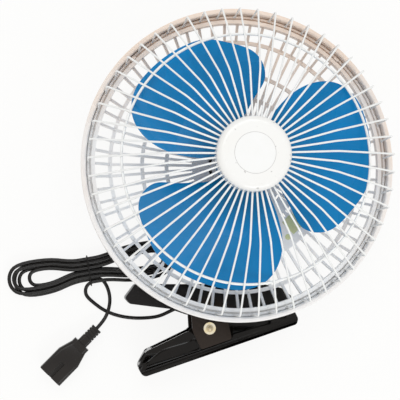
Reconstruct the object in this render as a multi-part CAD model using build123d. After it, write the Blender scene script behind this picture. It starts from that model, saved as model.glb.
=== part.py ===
"""Clip fan: a guarded fan head on a tilting neck, a sprung clip, and its cord.

Millimetres. The fan lies on its back: +Z is the fan's axis, towards its front,
+Y points from the clip to the head, and z = 0 is the flat back of the motor cover.
"""
from build123d import *
import math
import os

os.makedirs("parts", exist_ok=True)

# ---------------------------------------------------------------- clearances
RUN = 0.06            # radial running fit of pins, shafts and bushes
GAP = 0.4             # free space between pieces that move past each other
SEAT = 0.05           # space between pieces that are put together by hand

# ---------------------------------------------------------------- motor cover
COVER_R_BACK = 31.0
COVER_R_FRONT = 35.5
COVER_DEPTH = 38.0
COVER_WALL = 2.2
COVER_BOSS_R = 3.6
COVER_BOSS_AT = 27.5
COVER_BOSS_ANGLES = (30, 150, 270)
COVER_SCREW_R = 1.5
COVER_SCREW_DEPTH = 12.0
VENT_COUNT = 10
VENT_LENGTH = 12.0
VENT_WIDTH = 3.0
VENT_AT = 19.0

# ---------------------------------------------------------------- motor
MOTOR_R = 18.0
MOTOR_LENGTH = 31.0
MOTOR_WALL = 1.2
END_CAP_T = 3.0
MAGNET_T = 3.2
MAGNET_SPAN = 130.0
AIR_GAP = 0.6
ARMATURE_LENGTH = 11.0
COIL_RISE = 1.8
ARMATURE_POLES = 3
COIL_R = 3.2
COMMUTATOR_R = 3.4
COMMUTATOR_LENGTH = 4.0
BRUSH_WIDTH = 2.4
SHAFT_R = 1.6
BUSH_R = 4.0
BUSH_LENGTH = 3.6
MOTOR_SCREW_AT = 12.0
MOTOR_SCREW_R = 1.4

# ---------------------------------------------------------------- rear guard
PLATE_T = 3.5
PLATE_R = 36.0
PLATE_SLOT_COUNT = 12
PLATE_SLOT_AT = 21.5
RIB_COUNT = 68
RIB_WIDTH = 2.0
RIB_DEPTH = 2.6
RING_WIDTH = 3.0
RING_DEPTH = 1.8
PANEL_TO_R = 79.0
PANEL_FROM_ANGLE = -60.0
PANEL_TO_ANGLE = -34.0
PANEL_SLOTS = (       # x, y, turn, length, width
    (33.2, -24.7, -37.0, 1.8, 4.0), (43.8, -33.5, -38.0, 1.8, 4.6), (38.8, -39.3, -45.0, 3.4, 1.8),
    (41.2, -36.2, -41.0, 2.8, 1.4), (52.1, -53.7, -46.0, 2.8, 2.8), (57.1, -49.6, -41.0, 2.8, 2.8))
RIM_OUT_R = 124.8
LIP_WIDTH = 4.2
GROOVE_WIDTH = 3.8
LEDGE_WIDTH = 3.0
RIM_FROM_OUTER_RING = 12.2
RIM_BOTTOM_Z = 46.5
GROOVE_FLOOR_Z = 51.0
LEDGE_Z = 54.0
RIM_TOP_Z = 59.0
RIM_ROUND = 1.3
LATCH_COUNT = 4
LATCH_WIDTH = 4.4
LATCH_AFTER_SPOKES = 6.5

# ---------------------------------------------------------------- front grille
SPOKE_COUNT = 53
SPOKE_FIRST_ANGLE = 3.2
WIRE_R = 0.9
RING_WIRE_R = 1.2
SHOULDER_Z = 82.0
KINK_R = 64.5
KINK_Z = 117.0
SPOKE_END_R = 20.0
SPOKE_END_Z = 121.4
MID_RING_R = 94.8
WELD = 0.15
SHOULDER_BEND = 4.0
KINK_BEND = 14.0
DISC_R = 24.5
DISC_T = 1.2
CAP_R = 27.7
CAP_FACE_Z = 128.0
CAP_SKIRT_Z = 113.0
CAP_WALL = 1.8
CAP_ROUND = 5.0
CAP_PIN_R = 3.0
BADGE_R = 15.0
BADGE_T = 0.5

# ---------------------------------------------------------------- impeller
BLADE_COUNT = 3
BLADE_R = 99.5
BLADE_T = 1.8
BLADE_MID_Z = 79.0
BLADE_RISE_PER_DEGREE = 0.27
BLADE_CAMBER = 3.0
HUB_R = 20.0
HUB_BACK_Z = 62.0
HUB_FRONT_Z = 96.0
HUB_WALL = 2.2
HUB_BORE_BOSS_R = 4.6
BLADE_NUT_R = 4.6
BLADE_NUT_T = 3.6

# ---------------------------------------------------------------- neck and tilt
TILT_Y = -43.5
AXIS_Z = 19.0
KNUCKLE_R = 6.4
KNUCKLE_WIDTH = 14.0
EAR_T = 4.0
TILT_BOLT_R = 2.5
TILT_HEAD_R = 4.4
TILT_HEAD_T = 3.2
NECK_R = 6.2
NECK_FOOT_R = 10.0
NECK_FOOT_LENGTH = 6.0
STEM_R = 5.0
SWIVEL_SCREW_R = 2.0
SWIVEL_WASHER_R = 8.0
SWIVEL_WASHER_T = 1.4

# ---------------------------------------------------------------- clip
CLIP_TOP_Y = -95.0
CLIP_REAR_Z = 2.6
CLIP_FRONT_Z = 33.0
CLIP_WALL = 2.4
GRIP_Y = -123.0
GRIP_SLOPE = 0.17
LEVER_EDGE_Y = -144.6
LEVER_EDGE_SLOPE = 0.3316
PIVOT_X = -20.8
PIVOT_Y = -130.3
PIVOT_R = 2.0
PIVOT_HEAD_R = 2.9
PIVOT_HEAD_T = 0.8
PIVOT_DOME_R = 1.7
PIVOT_DOME_T = 1.5
PIVOT_NUT_R = 3.6
WASHER_R = 4.9
WASHER_T = 0.8
PIVOT_NUT_T = 1.7
LEVER_GAP = 0.5
LEVER_WALL = 4.2
LEVER_LIP = 3.3
LEVER_WEB_DROP = 0.8
LEVER_RECESS = 1.6
LEVER_RECESS_TAPER = 45.0
LEVER_WINDOW = 6.0
PAD_T = 2.0
PAD_WIDTH = 24.0
PAD_FROM_X = 14.0
PAD_TO_X = 46.0
PAD_TEETH = 5
SPRING_WIRE_R = 0.9
SPRING_R = 6.0
SPRING_FULL_TURNS = 5
SPRING_PITCH = 2.3
SPRING_LOW_ANGLE = 216.0
SPRING_HIGH_ANGLE = 150.0
SPRING_LOW_LEG = 29.0
SPRING_HIGH_LEG = 20.5

# ---------------------------------------------------------------- switch
SWITCH_WIDTH = 15.0
SWITCH_HEIGHT = 10.5
SWITCH_DEPTH = 11.0
SWITCH_BEZEL_T = 1.6
SWITCH_Y = 37.0
ROCKER_RISE = 2.2
ROCKER_PIN_R = 0.8
ROCKER_PIN_Y = 36.6
ROCKER_PIN_HALF = 3.7

# ---------------------------------------------------------------- cord
CORD_R = 1.5
CORD_SPACE = 0.45
HANK_HALF_TURNS = 10
HANK_STEP = 3.65
HANK_WAIST_STEP = 3.7
HANK_WAIST_X = -118.8
HANK_WAIST_Y = -83.0
HANK_ANGLE = 9.7
HANK_LEFT = 46.5
HANK_RIGHT = 60.0
HANK_LEFT_FLARE = 38.0
HANK_RIGHT_FLARE = 46.0
HANK_INNER = 6.4
HANK_WAIST_INNER = 1.1
HANK_WAIST_STRAIGHT = 3.0
HANK_START = 6.0
HANK_START_OUT = 0.5
HANK_TOP_SHIFT = -4.0
HANK_BASE = 1.3
HANK_CLIMB_SHIFT = 6.0
TIE_R = 0.6
TIE_AT = 1.5
TIE_SPACE = 0.6
RELIEF_LENGTH = 17.5
RELIEF_R_START = 3.4
RELIEF_R_END = 5.0
RELIEF_RIBS = 5
PLUG_LENGTH = 36.0
PLUG_WIDTH = 21.7
PLUG_HEIGHT = 14.4
PLUG_NECK_WIDTH = 13.0
PLUG_NECK_HEIGHT = 11.0
PLUG_TAPER = 15.0
PLUG_SLOT_WIDTH = 3.0
PLUG_SLOT_LENGTH = 15.0
CONTACT_R = 2.0
CONTACT_SPACING = 9.0
SOCKET_DEPTH = 14.0
PLUG_ANGLE = 225.5
PLUG_START = (-110.2, -131.0)

# ---------------------------------------------------------------- worked out
PLATE_FRONT_Z = COVER_DEPTH + PLATE_T
MOTOR_BACK_Z = COVER_DEPTH - MOTOR_LENGTH
GROOVE_R = RIM_OUT_R - LIP_WIDTH
LEDGE_R = GROOVE_R - GROOVE_WIDTH
RIM_IN_R = LEDGE_R - LEDGE_WIDTH
RING_RADII = (56.5, 76.0, RIM_IN_R - RIM_FROM_OUTER_RING)
RIM_RING_R = GROOVE_R - RING_WIRE_R - 0.2
RIM_RING_Z = GROOVE_FLOOR_Z + RING_WIRE_R + SEAT
SHOULDER_R = RIM_RING_R - 0.2
SPOKE_SLOPE = math.atan2(KINK_Z - SHOULDER_Z, SHOULDER_R - KINK_R)
INNER_SLOPE = (SPOKE_END_Z - KINK_Z) / (KINK_R - SPOKE_END_R)
DISC_FRONT_Z = SPOKE_END_Z - INNER_SLOPE * (DISC_R - SPOKE_END_R) - WIRE_R + WELD
FRONT_BUSH_Z = COVER_DEPTH - SEAT - BUSH_LENGTH + 1.0
LATCH_IN_R = LEDGE_R + 0.2
LATCH_OUT_R = RIM_RING_R - RING_WIRE_R - 2 * SEAT
LEVER_REAR_Z = CLIP_REAR_Z + CLIP_WALL + LEVER_GAP
LEVER_FRONT_Z = CLIP_FRONT_Z - CLIP_WALL - LEVER_GAP
CLIP_MID_Z = (CLIP_REAR_Z + CLIP_FRONT_Z) / 2
LAYER_Z = 2 * CORD_R + CORD_SPACE


# ---------------------------------------------------------------- helpers
def save(shape, name):
    """Write one sub-part."""
    export_step(shape, f"parts/{name}.step")


def rod(radius, z_from, z_to, x=0.0, y=0.0):
    """A round bar along Z."""
    bar = Cylinder(radius, z_to - z_from, align=(Align.CENTER, Align.CENTER, Align.MIN))
    return Pos(x, y, z_from) * bar


def bar_x(radius, x_from, x_to, y, z):
    """A round bar along X."""
    bar = Cylinder(radius, x_to - x_from, align=(Align.CENTER, Align.CENTER, Align.MIN))
    return Pos(x_from, y, z) * Rot(0, 90, 0) * bar


def bar_y(radius, y_from, y_to, x, z):
    """A round bar along Y."""
    bar = Cylinder(radius, y_to - y_from, align=(Align.CENTER, Align.CENTER, Align.MIN))
    return Pos(x, y_from, z) * Rot(-90, 0, 0) * bar


def block(x_from, x_to, y_from, y_to, z_from, z_to):
    """A box given by its limits."""
    size = (x_to - x_from, y_to - y_from, z_to - z_from)
    middle = ((x_from + x_to) / 2, (y_from + y_to) / 2, (z_from + z_to) / 2)
    return Pos(*middle) * Box(*size)


def hexagon_bar(radius, z_from, z_to, x=0.0, y=0.0):
    """A six-sided bar along Z."""
    face = Pos(x, y, z_from) * RegularPolygon(radius, 6)
    return extrude(face, z_to - z_from, dir=(0, 0, 1))


def slab(face, z_from, z_to):
    """A flat face in XY, made solid between two heights."""
    return extrude(Pos(0, 0, z_from) * face, z_to - z_from, dir=(0, 0, 1))


def outline(points, radius=0.0):
    """A closed outline, its corners rounded."""
    if radius:
        return make_face(FilletPolyline(*points, radius=radius, close=True))
    return make_face(Polyline(*points, close=True))


def turned(points):
    """A solid turned about Z from points (radius, height)."""
    return revolve(Plane.XZ * outline(points), Axis.Z)


def around(shape, count, first=0.0):
    """Copies of a shape about Z."""
    return [Rot(0, 0, first + 360 * i / count) * shape for i in range(count)]


def at_angle(radius, degrees):
    """The point at an angle about the origin."""
    turn = math.radians(degrees)
    return radius * math.cos(turn), radius * math.sin(turn)


# ---------------------------------------------------------------- motor cover
def cover_radius(z):
    """The cover's outside radius at a height."""
    return COVER_R_BACK + (COVER_R_FRONT - COVER_R_BACK) * z / COVER_DEPTH


def tilt_ears():
    """Two ears on the cover that carry the tilt bolt."""
    inside = KNUCKLE_WIDTH / 2 + GAP
    wall_y = -(cover_radius(AXIS_Z) - COVER_WALL)
    root_z = KNUCKLE_R + 5.0
    ears = []
    for side in (-1, 1):
        x_near = side * inside
        x_far = side * (inside + EAR_T)
        x_from = min(x_near, x_far)
        x_to = max(x_near, x_far)
        eye = bar_x(KNUCKLE_R, x_from, x_to, TILT_Y, AXIS_Z)
        profile = Polyline(
            (wall_y, AXIS_Z - root_z), (TILT_Y, AXIS_Z - KNUCKLE_R),
            (TILT_Y, AXIS_Z + KNUCKLE_R), (wall_y, AXIS_Z + root_z), close=True)
        web = extrude(Plane.YZ.offset(x_from) * make_face(profile), EAR_T, dir=(1, 0, 0))
        ears.append(eye + web)
    return ears


def motor_cover():
    """The cup behind the motor, with vents, screw bosses, ears and the switch's seat."""
    cup = turned([
        (0, 0), (COVER_R_BACK - 2, 0), (COVER_R_BACK, 2), (COVER_R_FRONT, COVER_DEPTH), (0, COVER_DEPTH)])
    seat_x = SWITCH_WIDTH / 2 + 3.0
    seat_z = SWITCH_HEIGHT / 2 + 3.0
    seat = block(-seat_x, seat_x, COVER_R_BACK - 6, SWITCH_Y, AXIS_Z - seat_z, AXIS_Z + seat_z)
    cup += seat
    cup += tilt_ears()
    inner_back = COVER_R_BACK - COVER_WALL
    inner_front = COVER_R_FRONT - COVER_WALL
    cup -= turned([(0, COVER_WALL), (inner_back, COVER_WALL), (inner_front, COVER_DEPTH), (0, COVER_DEPTH)])
    for angle in COVER_BOSS_ANGLES:
        x, y = at_angle(COVER_BOSS_AT, angle)
        cup += rod(COVER_BOSS_R, COVER_WALL / 2, COVER_DEPTH - SEAT, x, y)
        cup -= rod(COVER_SCREW_R - SEAT, COVER_DEPTH - COVER_SCREW_DEPTH, COVER_DEPTH, x, y)
    motor_post = rod(MOTOR_R * 0.6, COVER_WALL / 2, MOTOR_BACK_Z - SEAT)
    cup += motor_post - rod(MOTOR_R * 0.6 - COVER_WALL, 0, MOTOR_BACK_Z)
    vent = Pos(VENT_AT + 2, 0, 0) * SlotOverall(VENT_LENGTH, VENT_WIDTH)
    vents = around(slab(vent, -1, COVER_WALL + 1), VENT_COUNT, 18)
    cup -= vents
    opening_x = SWITCH_WIDTH / 2 - 1.0
    opening_z = SWITCH_HEIGHT / 2 - 1.0
    cup -= block(-opening_x, opening_x, 20, SWITCH_Y + 1, AXIS_Z - opening_z, AXIS_Z + opening_z)
    reach = KNUCKLE_WIDTH / 2 + EAR_T + 2
    cup -= bar_x(TILT_BOLT_R + SEAT, -reach, reach, TILT_Y, AXIS_Z)
    return cup


def screw(radius, head_radius, head_height, z_under_head, z_tip, x, y):
    """A pan-head screw that points down."""
    head = rod(head_radius, z_under_head, z_under_head + head_height, x, y)
    return head + rod(radius, z_tip, z_under_head + head_height / 2, x, y)


def cover_screws():
    """Three screws from the hub plate into the cover's bosses."""
    tip = COVER_DEPTH - COVER_SCREW_DEPTH + 2.0
    places = [at_angle(COVER_BOSS_AT, angle) for angle in COVER_BOSS_ANGLES]
    head_seat = PLATE_FRONT_Z + SEAT
    return [screw(COVER_SCREW_R - 2 * SEAT, 2.8, 1.6, head_seat, tip, x, y) for x, y in places]


# ---------------------------------------------------------------- motor
def motor_can():
    """The steel can: open at the back, its front face against the hub plate."""
    front = COVER_DEPTH - SEAT
    can = rod(MOTOR_R, MOTOR_BACK_Z + END_CAP_T, front)
    can -= rod(MOTOR_R - MOTOR_WALL, MOTOR_BACK_Z, front - MOTOR_WALL)
    can -= rod(BUSH_R + SEAT, MOTOR_BACK_Z, COVER_DEPTH + 1)
    for side in (-1, 1):
        can -= rod(MOTOR_SCREW_R - SEAT, MOTOR_BACK_Z, COVER_DEPTH + 1, side * MOTOR_SCREW_AT)
    return can


def motor_end_cap():
    """The plastic cap at the motor's back, which seats the rear bush."""
    cap = rod(MOTOR_R, MOTOR_BACK_Z, MOTOR_BACK_Z + END_CAP_T - SEAT)
    spigot_r = MOTOR_R - MOTOR_WALL - SEAT
    spigot_top = MOTOR_BACK_Z + END_CAP_T + 2.0
    cap += rod(spigot_r, MOTOR_BACK_Z + 1, spigot_top)
    cap -= rod(spigot_r - 1.8, MOTOR_BACK_Z + END_CAP_T, spigot_top + 1)
    cap += rod(BUSH_R + 1.6, MOTOR_BACK_Z, MOTOR_BACK_Z + BUSH_LENGTH + 1)
    cap -= rod(BUSH_R + SEAT, MOTOR_BACK_Z + 1.2, spigot_top + 1)
    cap -= rod(SHAFT_R + GAP, MOTOR_BACK_Z - 1, spigot_top)
    return cap


def magnets():
    """Two arc magnets on the can's wall."""
    outer = MOTOR_R - MOTOR_WALL - SEAT
    inner = outer - MAGNET_T
    z_from = MOTOR_BACK_Z + END_CAP_T + 7.0
    z_to = COVER_DEPTH - MOTOR_WALL - 2.5
    ring = rod(outer, z_from, z_to) - rod(inner, z_from, z_to)
    half_gap = math.radians(90 - MAGNET_SPAN / 2)
    reach = MOTOR_R * 2
    wedge = outline([(0, 0), (reach, -reach * math.tan(half_gap)), (reach, reach * math.tan(half_gap))])
    cutter = slab(wedge, z_from, z_to)
    ring -= [cutter, Rot(0, 0, 180) * cutter]
    return ring.solids()


def armature_limits():
    """The armature stack's ends."""
    z_to = FRONT_BUSH_Z - 0.9 - COIL_RISE
    return z_to - ARMATURE_LENGTH, z_to


def armature():
    """Laminated poles with their windings, in one piece round the shaft."""
    z_from, z_to = armature_limits()
    radius = MOTOR_R - MOTOR_WALL - SEAT - MAGNET_T - AIR_GAP
    stack = rod(5.0, z_from, z_to)
    shoe = rod(radius, z_from, z_to) - rod(radius - 2.2, z_from, z_to)
    neck = block(0, radius - 1, -2.0, 2.0, z_from, z_to)
    sector = slab(outline([(0, 0), (radius * 2, -radius * 2.4), (radius * 2, radius * 2.4)]), z_from, z_to)
    pole = neck + (shoe & sector)
    coil_mid = (5.0 + radius - 2.2) / 2
    half = (radius - 2.2 - 5.0) / 2 - 0.1
    coil_side = 2 + COIL_R / 2
    coil_from = z_from - COIL_RISE
    coil = block(coil_mid - half, coil_mid + half, -coil_side, coil_side, coil_from, z_to + COIL_RISE)
    stack += around(pole, ARMATURE_POLES)
    stack += around(coil, ARMATURE_POLES)
    stack -= rod(SHAFT_R + RUN / 2, z_from - 3, z_to + 3)
    return stack


def commutator():
    """The copper drum that the brushes touch."""
    z_from = MOTOR_BACK_Z + BUSH_LENGTH + 2.2
    drum = rod(COMMUTATOR_R, z_from, z_from + COMMUTATOR_LENGTH)
    return drum - rod(SHAFT_R + RUN / 2, z_from - 1, z_from + COMMUTATOR_LENGTH + 1)


def brushes():
    """Two carbon blocks beside the commutator."""
    z_from = MOTOR_BACK_Z + BUSH_LENGTH + 2.6
    z_to = z_from + BRUSH_WIDTH
    start = COMMUTATOR_R + GAP / 2
    half = BRUSH_WIDTH / 2
    return [Rot(0, 0, turn) * block(start, start + 5, -half, half, z_from, z_to) for turn in (0, 180)]


def motor_shaft():
    """The shaft from the rear bush to the impeller's nut."""
    tip = HUB_FRONT_Z + BLADE_NUT_T + 1.5
    shaft = rod(SHAFT_R, MOTOR_BACK_Z + 1.0, tip)
    return chamfer(shaft.edges().sort_by(Axis.Z)[-1], 0.4)


def bush(z_from):
    """A sintered bush round the shaft."""
    z_to = z_from + BUSH_LENGTH
    return rod(BUSH_R, z_from, z_to) - rod(SHAFT_R + RUN, z_from - 1, z_to + 1)


def motor_screws():
    """Two screws through the hub plate into the motor's face."""
    tip = COVER_DEPTH - MOTOR_WALL - 1.0
    head_seat = PLATE_FRONT_Z + SEAT
    radius = MOTOR_SCREW_R - 2 * SEAT
    return [screw(radius, 2.6, 1.6, head_seat, tip, side * MOTOR_SCREW_AT, 0) for side in (-1, 1)]


# ---------------------------------------------------------------- rear guard
def rib():
    """One rib from the hub plate out and up to the rim."""
    top = PLATE_FRONT_Z
    low = top - RIB_DEPTH
    bend = RING_RADII[-1]
    end = RIM_IN_R + 1.0
    rise_top = LEDGE_Z - 3.5
    rise_low = RIM_BOTTOM_Z + 0.5
    start = PLATE_R - 1
    points = [(start, low), (bend, low), (end, rise_low), (end, rise_top), (bend, top), (start, top)]
    face = Plane.XZ.offset(-RIB_WIDTH / 2) * outline(points)
    return extrude(face, RIB_WIDTH, dir=(0, -1, 0))


def rim():
    """The rim with its inner ledge, groove and rounded outer lip."""
    lip_mid = (GROOVE_R + RIM_OUT_R) / 2
    section = outline([
        (RIM_IN_R, RIM_BOTTOM_Z + 1.5), (RIM_IN_R, LEDGE_Z), (LEDGE_R, LEDGE_Z), (LEDGE_R, GROOVE_FLOOR_Z),
        (GROOVE_R, GROOVE_FLOOR_Z), (GROOVE_R, RIM_TOP_Z), (RIM_OUT_R, RIM_TOP_Z), (RIM_OUT_R, RIM_BOTTOM_Z),
        (lip_mid, RIM_BOTTOM_Z), (lip_mid - 1.0, RIM_BOTTOM_Z + 1.5)])
    top_corners = section.vertices().group_by(Axis.Y)[-1]
    section = fillet(top_corners, RIM_ROUND)
    return revolve(Plane.XZ * section, Axis.Z)


def rear_guard():
    """Hub plate, ribs, rings, label panel and rim in one moulding."""
    low = PLATE_FRONT_Z - RIB_DEPTH
    guard = rod(PLATE_R, COVER_DEPTH, PLATE_FRONT_Z)
    rings = []
    for radius in RING_RADII:
        inner = radius - RING_WIDTH / 2
        outer = radius + RING_WIDTH / 2
        rings.append(rod(outer, low, low + RING_DEPTH) - rod(inner, low, low + RING_DEPTH))
    guard += [*rings, label_panel(low), rim(), *around(rib(), RIB_COUNT)]
    for x, y, turn, length, width in PANEL_SLOTS:
        opening = Pos(x, y, 0) * Rot(0, 0, turn) * Rectangle(length, width)
        guard -= slab(opening, low - 1, PLATE_FRONT_Z + 1)
    guard -= rod(BUSH_R + SEAT, COVER_DEPTH - 1, PLATE_FRONT_Z + 1)
    for side in (-1, 1):
        guard -= rod(MOTOR_SCREW_R + SEAT, COVER_DEPTH - 1, PLATE_FRONT_Z + 1, side * MOTOR_SCREW_AT)
    for angle in COVER_BOSS_ANGLES:
        x, y = at_angle(COVER_BOSS_AT, angle)
        guard -= rod(COVER_SCREW_R + SEAT, COVER_DEPTH - 1, PLATE_FRONT_Z + 1, x, y)
    slot = Pos(PLATE_SLOT_AT, 0, 0) * Rot(0, 0, 90) * SlotOverall(7.0, 2.6)
    turn = 180 / PLATE_SLOT_COUNT
    guard -= around(slab(slot, COVER_DEPTH - 1, PLATE_FRONT_Z + 1), PLATE_SLOT_COUNT, turn)
    half = LATCH_WIDTH / 2
    hole = block(LATCH_IN_R - SEAT, LATCH_OUT_R + SEAT, -half, half, RIM_BOTTOM_Z - 1, GROOVE_FLOOR_Z + 0.5)
    return guard - at_latches(hole)


def label_panel(low):
    """The solid sector between the hub plate and its outer edge."""
    panel = rod(PANEL_TO_R, low, PLATE_FRONT_Z) - rod(PLATE_R - 1, low, PLATE_FRONT_Z)
    reach = PANEL_TO_R * 1.5
    corners = [(0, 0), at_angle(reach, PANEL_FROM_ANGLE), at_angle(reach, PANEL_TO_ANGLE)]
    return panel & slab(outline(corners), low, PLATE_FRONT_Z)


def at_latches(shape):
    """Copies of a shape between spokes, nearly evenly round the rim."""
    step = 360 / SPOKE_COUNT
    places = [LATCH_AFTER_SPOKES + i * SPOKE_COUNT // LATCH_COUNT for i in range(LATCH_COUNT)]
    return [Rot(0, 0, SPOKE_FIRST_ANGLE + place * step) * shape for place in places]


def rim_latches():
    """Four snap tongues that hold the grille's rim ring in the groove."""
    foot = RIM_BOTTOM_Z + 0.5
    hook_low = RIM_RING_Z + RING_WIRE_R + SEAT
    hook_out = RIM_RING_R + 0.4
    points = [
        (LATCH_IN_R, foot), (LATCH_OUT_R, foot), (LATCH_OUT_R, hook_low), (hook_out, hook_low),
        (hook_out, hook_low + 0.8), (LATCH_OUT_R, hook_low + 1.8), (LATCH_IN_R, hook_low + 1.8)]
    half = LATCH_WIDTH / 2 - 2 * SEAT
    face = Plane.XZ.offset(-half) * outline(points)
    return at_latches(extrude(face, 2 * half, dir=(0, -1, 0)))


# ---------------------------------------------------------------- front grille
def spoke():
    """One bent wire: foot in the rim's groove, shoulder, slope, kink, inner end."""
    foot = (SHOULDER_R + 0.05, 0, RIM_RING_Z + RING_WIRE_R - WELD)
    points = [foot, (SHOULDER_R, 0, SHOULDER_Z), (KINK_R, 0, KINK_Z), (SPOKE_END_R, 0, SPOKE_END_Z)]
    path = FilletPolyline(*points, radius=[SHOULDER_BEND, KINK_BEND])
    section = Plane(origin=foot, z_dir=path % 0) * RegularPolygon(WIRE_R, 8)
    return sweep(section, path)


def ring_wire(radius, z):
    """A closed ring of the thicker wire."""
    return Pos(0, 0, z) * Torus(radius, RING_WIRE_R)


def grille_mid_ring():
    """The ring welded behind the spokes."""
    on_spoke = SHOULDER_Z + (SHOULDER_R - MID_RING_R) * math.tan(SPOKE_SLOPE)
    drop = (WIRE_R + RING_WIRE_R - WELD) / math.cos(SPOKE_SLOPE)
    return ring_wire(MID_RING_R, on_spoke - drop)


def grille_disc():
    """The steel disc under the wires' inner ends."""
    disc = rod(DISC_R, DISC_FRONT_Z - DISC_T, DISC_FRONT_Z)
    return disc - rod(CAP_PIN_R + SEAT, DISC_FRONT_Z - DISC_T - 1, DISC_FRONT_Z + 1)


def grille_cap():
    """The white cap over the wires' ends, with its pin through the disc."""
    recess = BADGE_T
    inner = CAP_R - CAP_WALL
    ceiling = CAP_FACE_Z - CAP_WALL - recess
    section = outline([
        (0, CAP_FACE_Z - recess), (BADGE_R + SEAT, CAP_FACE_Z - recess), (BADGE_R + SEAT, CAP_FACE_Z),
        (CAP_R, CAP_FACE_Z), (CAP_R, CAP_SKIRT_Z), (inner, CAP_SKIRT_Z), (inner, ceiling),
        (CAP_PIN_R, ceiling), (CAP_PIN_R, DISC_FRONT_Z - DISC_T - 1.5), (0, DISC_FRONT_Z - DISC_T - 1.5)])
    edge = section.vertices().sort_by_distance((CAP_R, CAP_FACE_Z))[0]
    section = fillet(edge, CAP_ROUND)
    cap = revolve(Plane.XZ * section, Axis.Z)
    notch_half = WIRE_R + SEAT
    notch = block(inner - 4, CAP_R + 1, -notch_half, notch_half, CAP_SKIRT_Z - 1, SPOKE_END_Z + notch_half)
    return cap - around(notch, SPOKE_COUNT, SPOKE_FIRST_ANGLE)


def cap_badge():
    """The plain round sticker in the cap's shallow recess."""
    return rod(BADGE_R, CAP_FACE_Z - BADGE_T + 0.02, CAP_FACE_Z + 0.02)


# ---------------------------------------------------------------- impeller
def blade_height(degrees):
    """The blade's height at an angle: a screw with a little camber."""
    rise = BLADE_RISE_PER_DEGREE * (degrees - 8.0)
    share = (degrees - 8.0) / 55.0
    return BLADE_MID_Z + rise + BLADE_CAMBER * (1 - share * share)


BLADE_FRONT_EDGE = [
    (14, 64), (39, 60), (57, 56.5), (72, 51.8), (BLADE_R - 12.5, 44.3), (BLADE_R - 3.0, 34.8)]
BLADE_BACK_EDGE = [
    (BLADE_R - 6.0, -23.5), (BLADE_R - 14.5, -39.5), (70, -46), (55, -42.5), (41, -36.5), (14, -26)]


def blade_outline():
    """One blade seen along the axis."""
    edge_front = Spline([at_angle(r, a) for r, a in BLADE_FRONT_EDGE])
    tip_front = Spline(
        [edge_front @ 1, at_angle(BLADE_R, 24)],
        tangents=[edge_front % 1, at_angle(1, 24 - 90)])
    tip = ThreePointArc(at_angle(BLADE_R, 24), at_angle(BLADE_R, 8), at_angle(BLADE_R, -6))
    back = [at_angle(r, a) for r, a in BLADE_BACK_EDGE]
    edge_back = Spline([tip @ 1, *back], tangents=[tip % 1, at_angle(1, 160)])
    close = Line(edge_back @ 1, edge_front @ 0)
    return make_face([edge_front, tip_front, tip, edge_back, close])


def blade():
    """One screw-shaped blade of even thickness, cut to its outline."""
    sections = []
    for degrees in (-56, -30, -2, 24, 48, 72):
        z = blade_height(degrees)
        low = z - BLADE_T / 2
        high = z + BLADE_T / 2
        sag = 2.0
        strip = [(8, low), (55, low - sag), (BLADE_R + 4, low + sag)]
        strip += [(BLADE_R + 4, high + sag), (55, high - sag), (8, high)]
        outward = (*at_angle(1, degrees), 0)
        plane = Plane(origin=(0, 0, 0), x_dir=outward, z_dir=(*at_angle(1, degrees - 90), 0))
        sections.append(plane * outline(strip))
    slab_of_screw = loft(sections)
    return slab_of_screw & slab(blade_outline(), HUB_BACK_Z - 20, HUB_FRONT_Z + 20)


def impeller():
    """Hub with its bore boss, and three blades."""
    hub = turned([
        (0, HUB_FRONT_Z), (HUB_R - 4, HUB_FRONT_Z), (HUB_R, HUB_FRONT_Z - 4), (HUB_R, HUB_BACK_Z),
        (HUB_R - HUB_WALL, HUB_BACK_Z), (HUB_R - HUB_WALL, HUB_FRONT_Z - 4.5),
        (HUB_BORE_BOSS_R, HUB_FRONT_Z - 4.5), (HUB_BORE_BOSS_R, HUB_BACK_Z + 6), (0, HUB_BACK_Z + 6)])
    blades = around(blade(), BLADE_COUNT)
    inside = rod(HUB_R - HUB_WALL / 2, HUB_BACK_Z - 20, HUB_FRONT_Z + 20)
    wheel = hub + [one - inside for one in blades]
    return wheel - rod(SHAFT_R + RUN / 2, HUB_BACK_Z - 1, HUB_FRONT_Z + 1)


def blade_nut():
    """The six-sided nut on the shaft's tip."""
    z_from = HUB_FRONT_Z + SEAT
    nut = hexagon_bar(BLADE_NUT_R, z_from, z_from + BLADE_NUT_T)
    return nut - rod(SHAFT_R + RUN / 2, z_from - 1, z_from + BLADE_NUT_T + 1)


# ---------------------------------------------------------------- neck and tilt
def neck():
    """Knuckle between the cover's ears, arm, foot on the clip, stem through the clip."""
    half = KNUCKLE_WIDTH / 2
    arm_end = CLIP_TOP_Y + NECK_FOOT_LENGTH
    body = bar_x(KNUCKLE_R, -half, half, TILT_Y, AXIS_Z)
    top = Plane(origin=(0, TILT_Y, AXIS_Z), z_dir=(0, -1, 0)) * RectangleRounded(KNUCKLE_WIDTH, 2 * NECK_R, 2)
    foot = Plane(origin=(0, arm_end, AXIS_Z), z_dir=(0, -1, 0)) * RectangleRounded(
        2 * NECK_FOOT_R - 4, 2 * NECK_FOOT_R - 4, 6)
    body += loft([top, foot])
    body += bar_y(NECK_FOOT_R, CLIP_TOP_Y + GAP / 2, arm_end + 0.5, 0, AXIS_Z)
    stem_end = CLIP_TOP_Y - CLIP_WALL - GAP
    body += bar_y(STEM_R, stem_end, arm_end, 0, AXIS_Z)
    body -= bar_x(TILT_BOLT_R + RUN, -half - 1, half + 1, TILT_Y, AXIS_Z)
    body -= bar_y(SWIVEL_SCREW_R - SEAT, stem_end - 1, stem_end + 14, 0, AXIS_Z)
    return body


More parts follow.
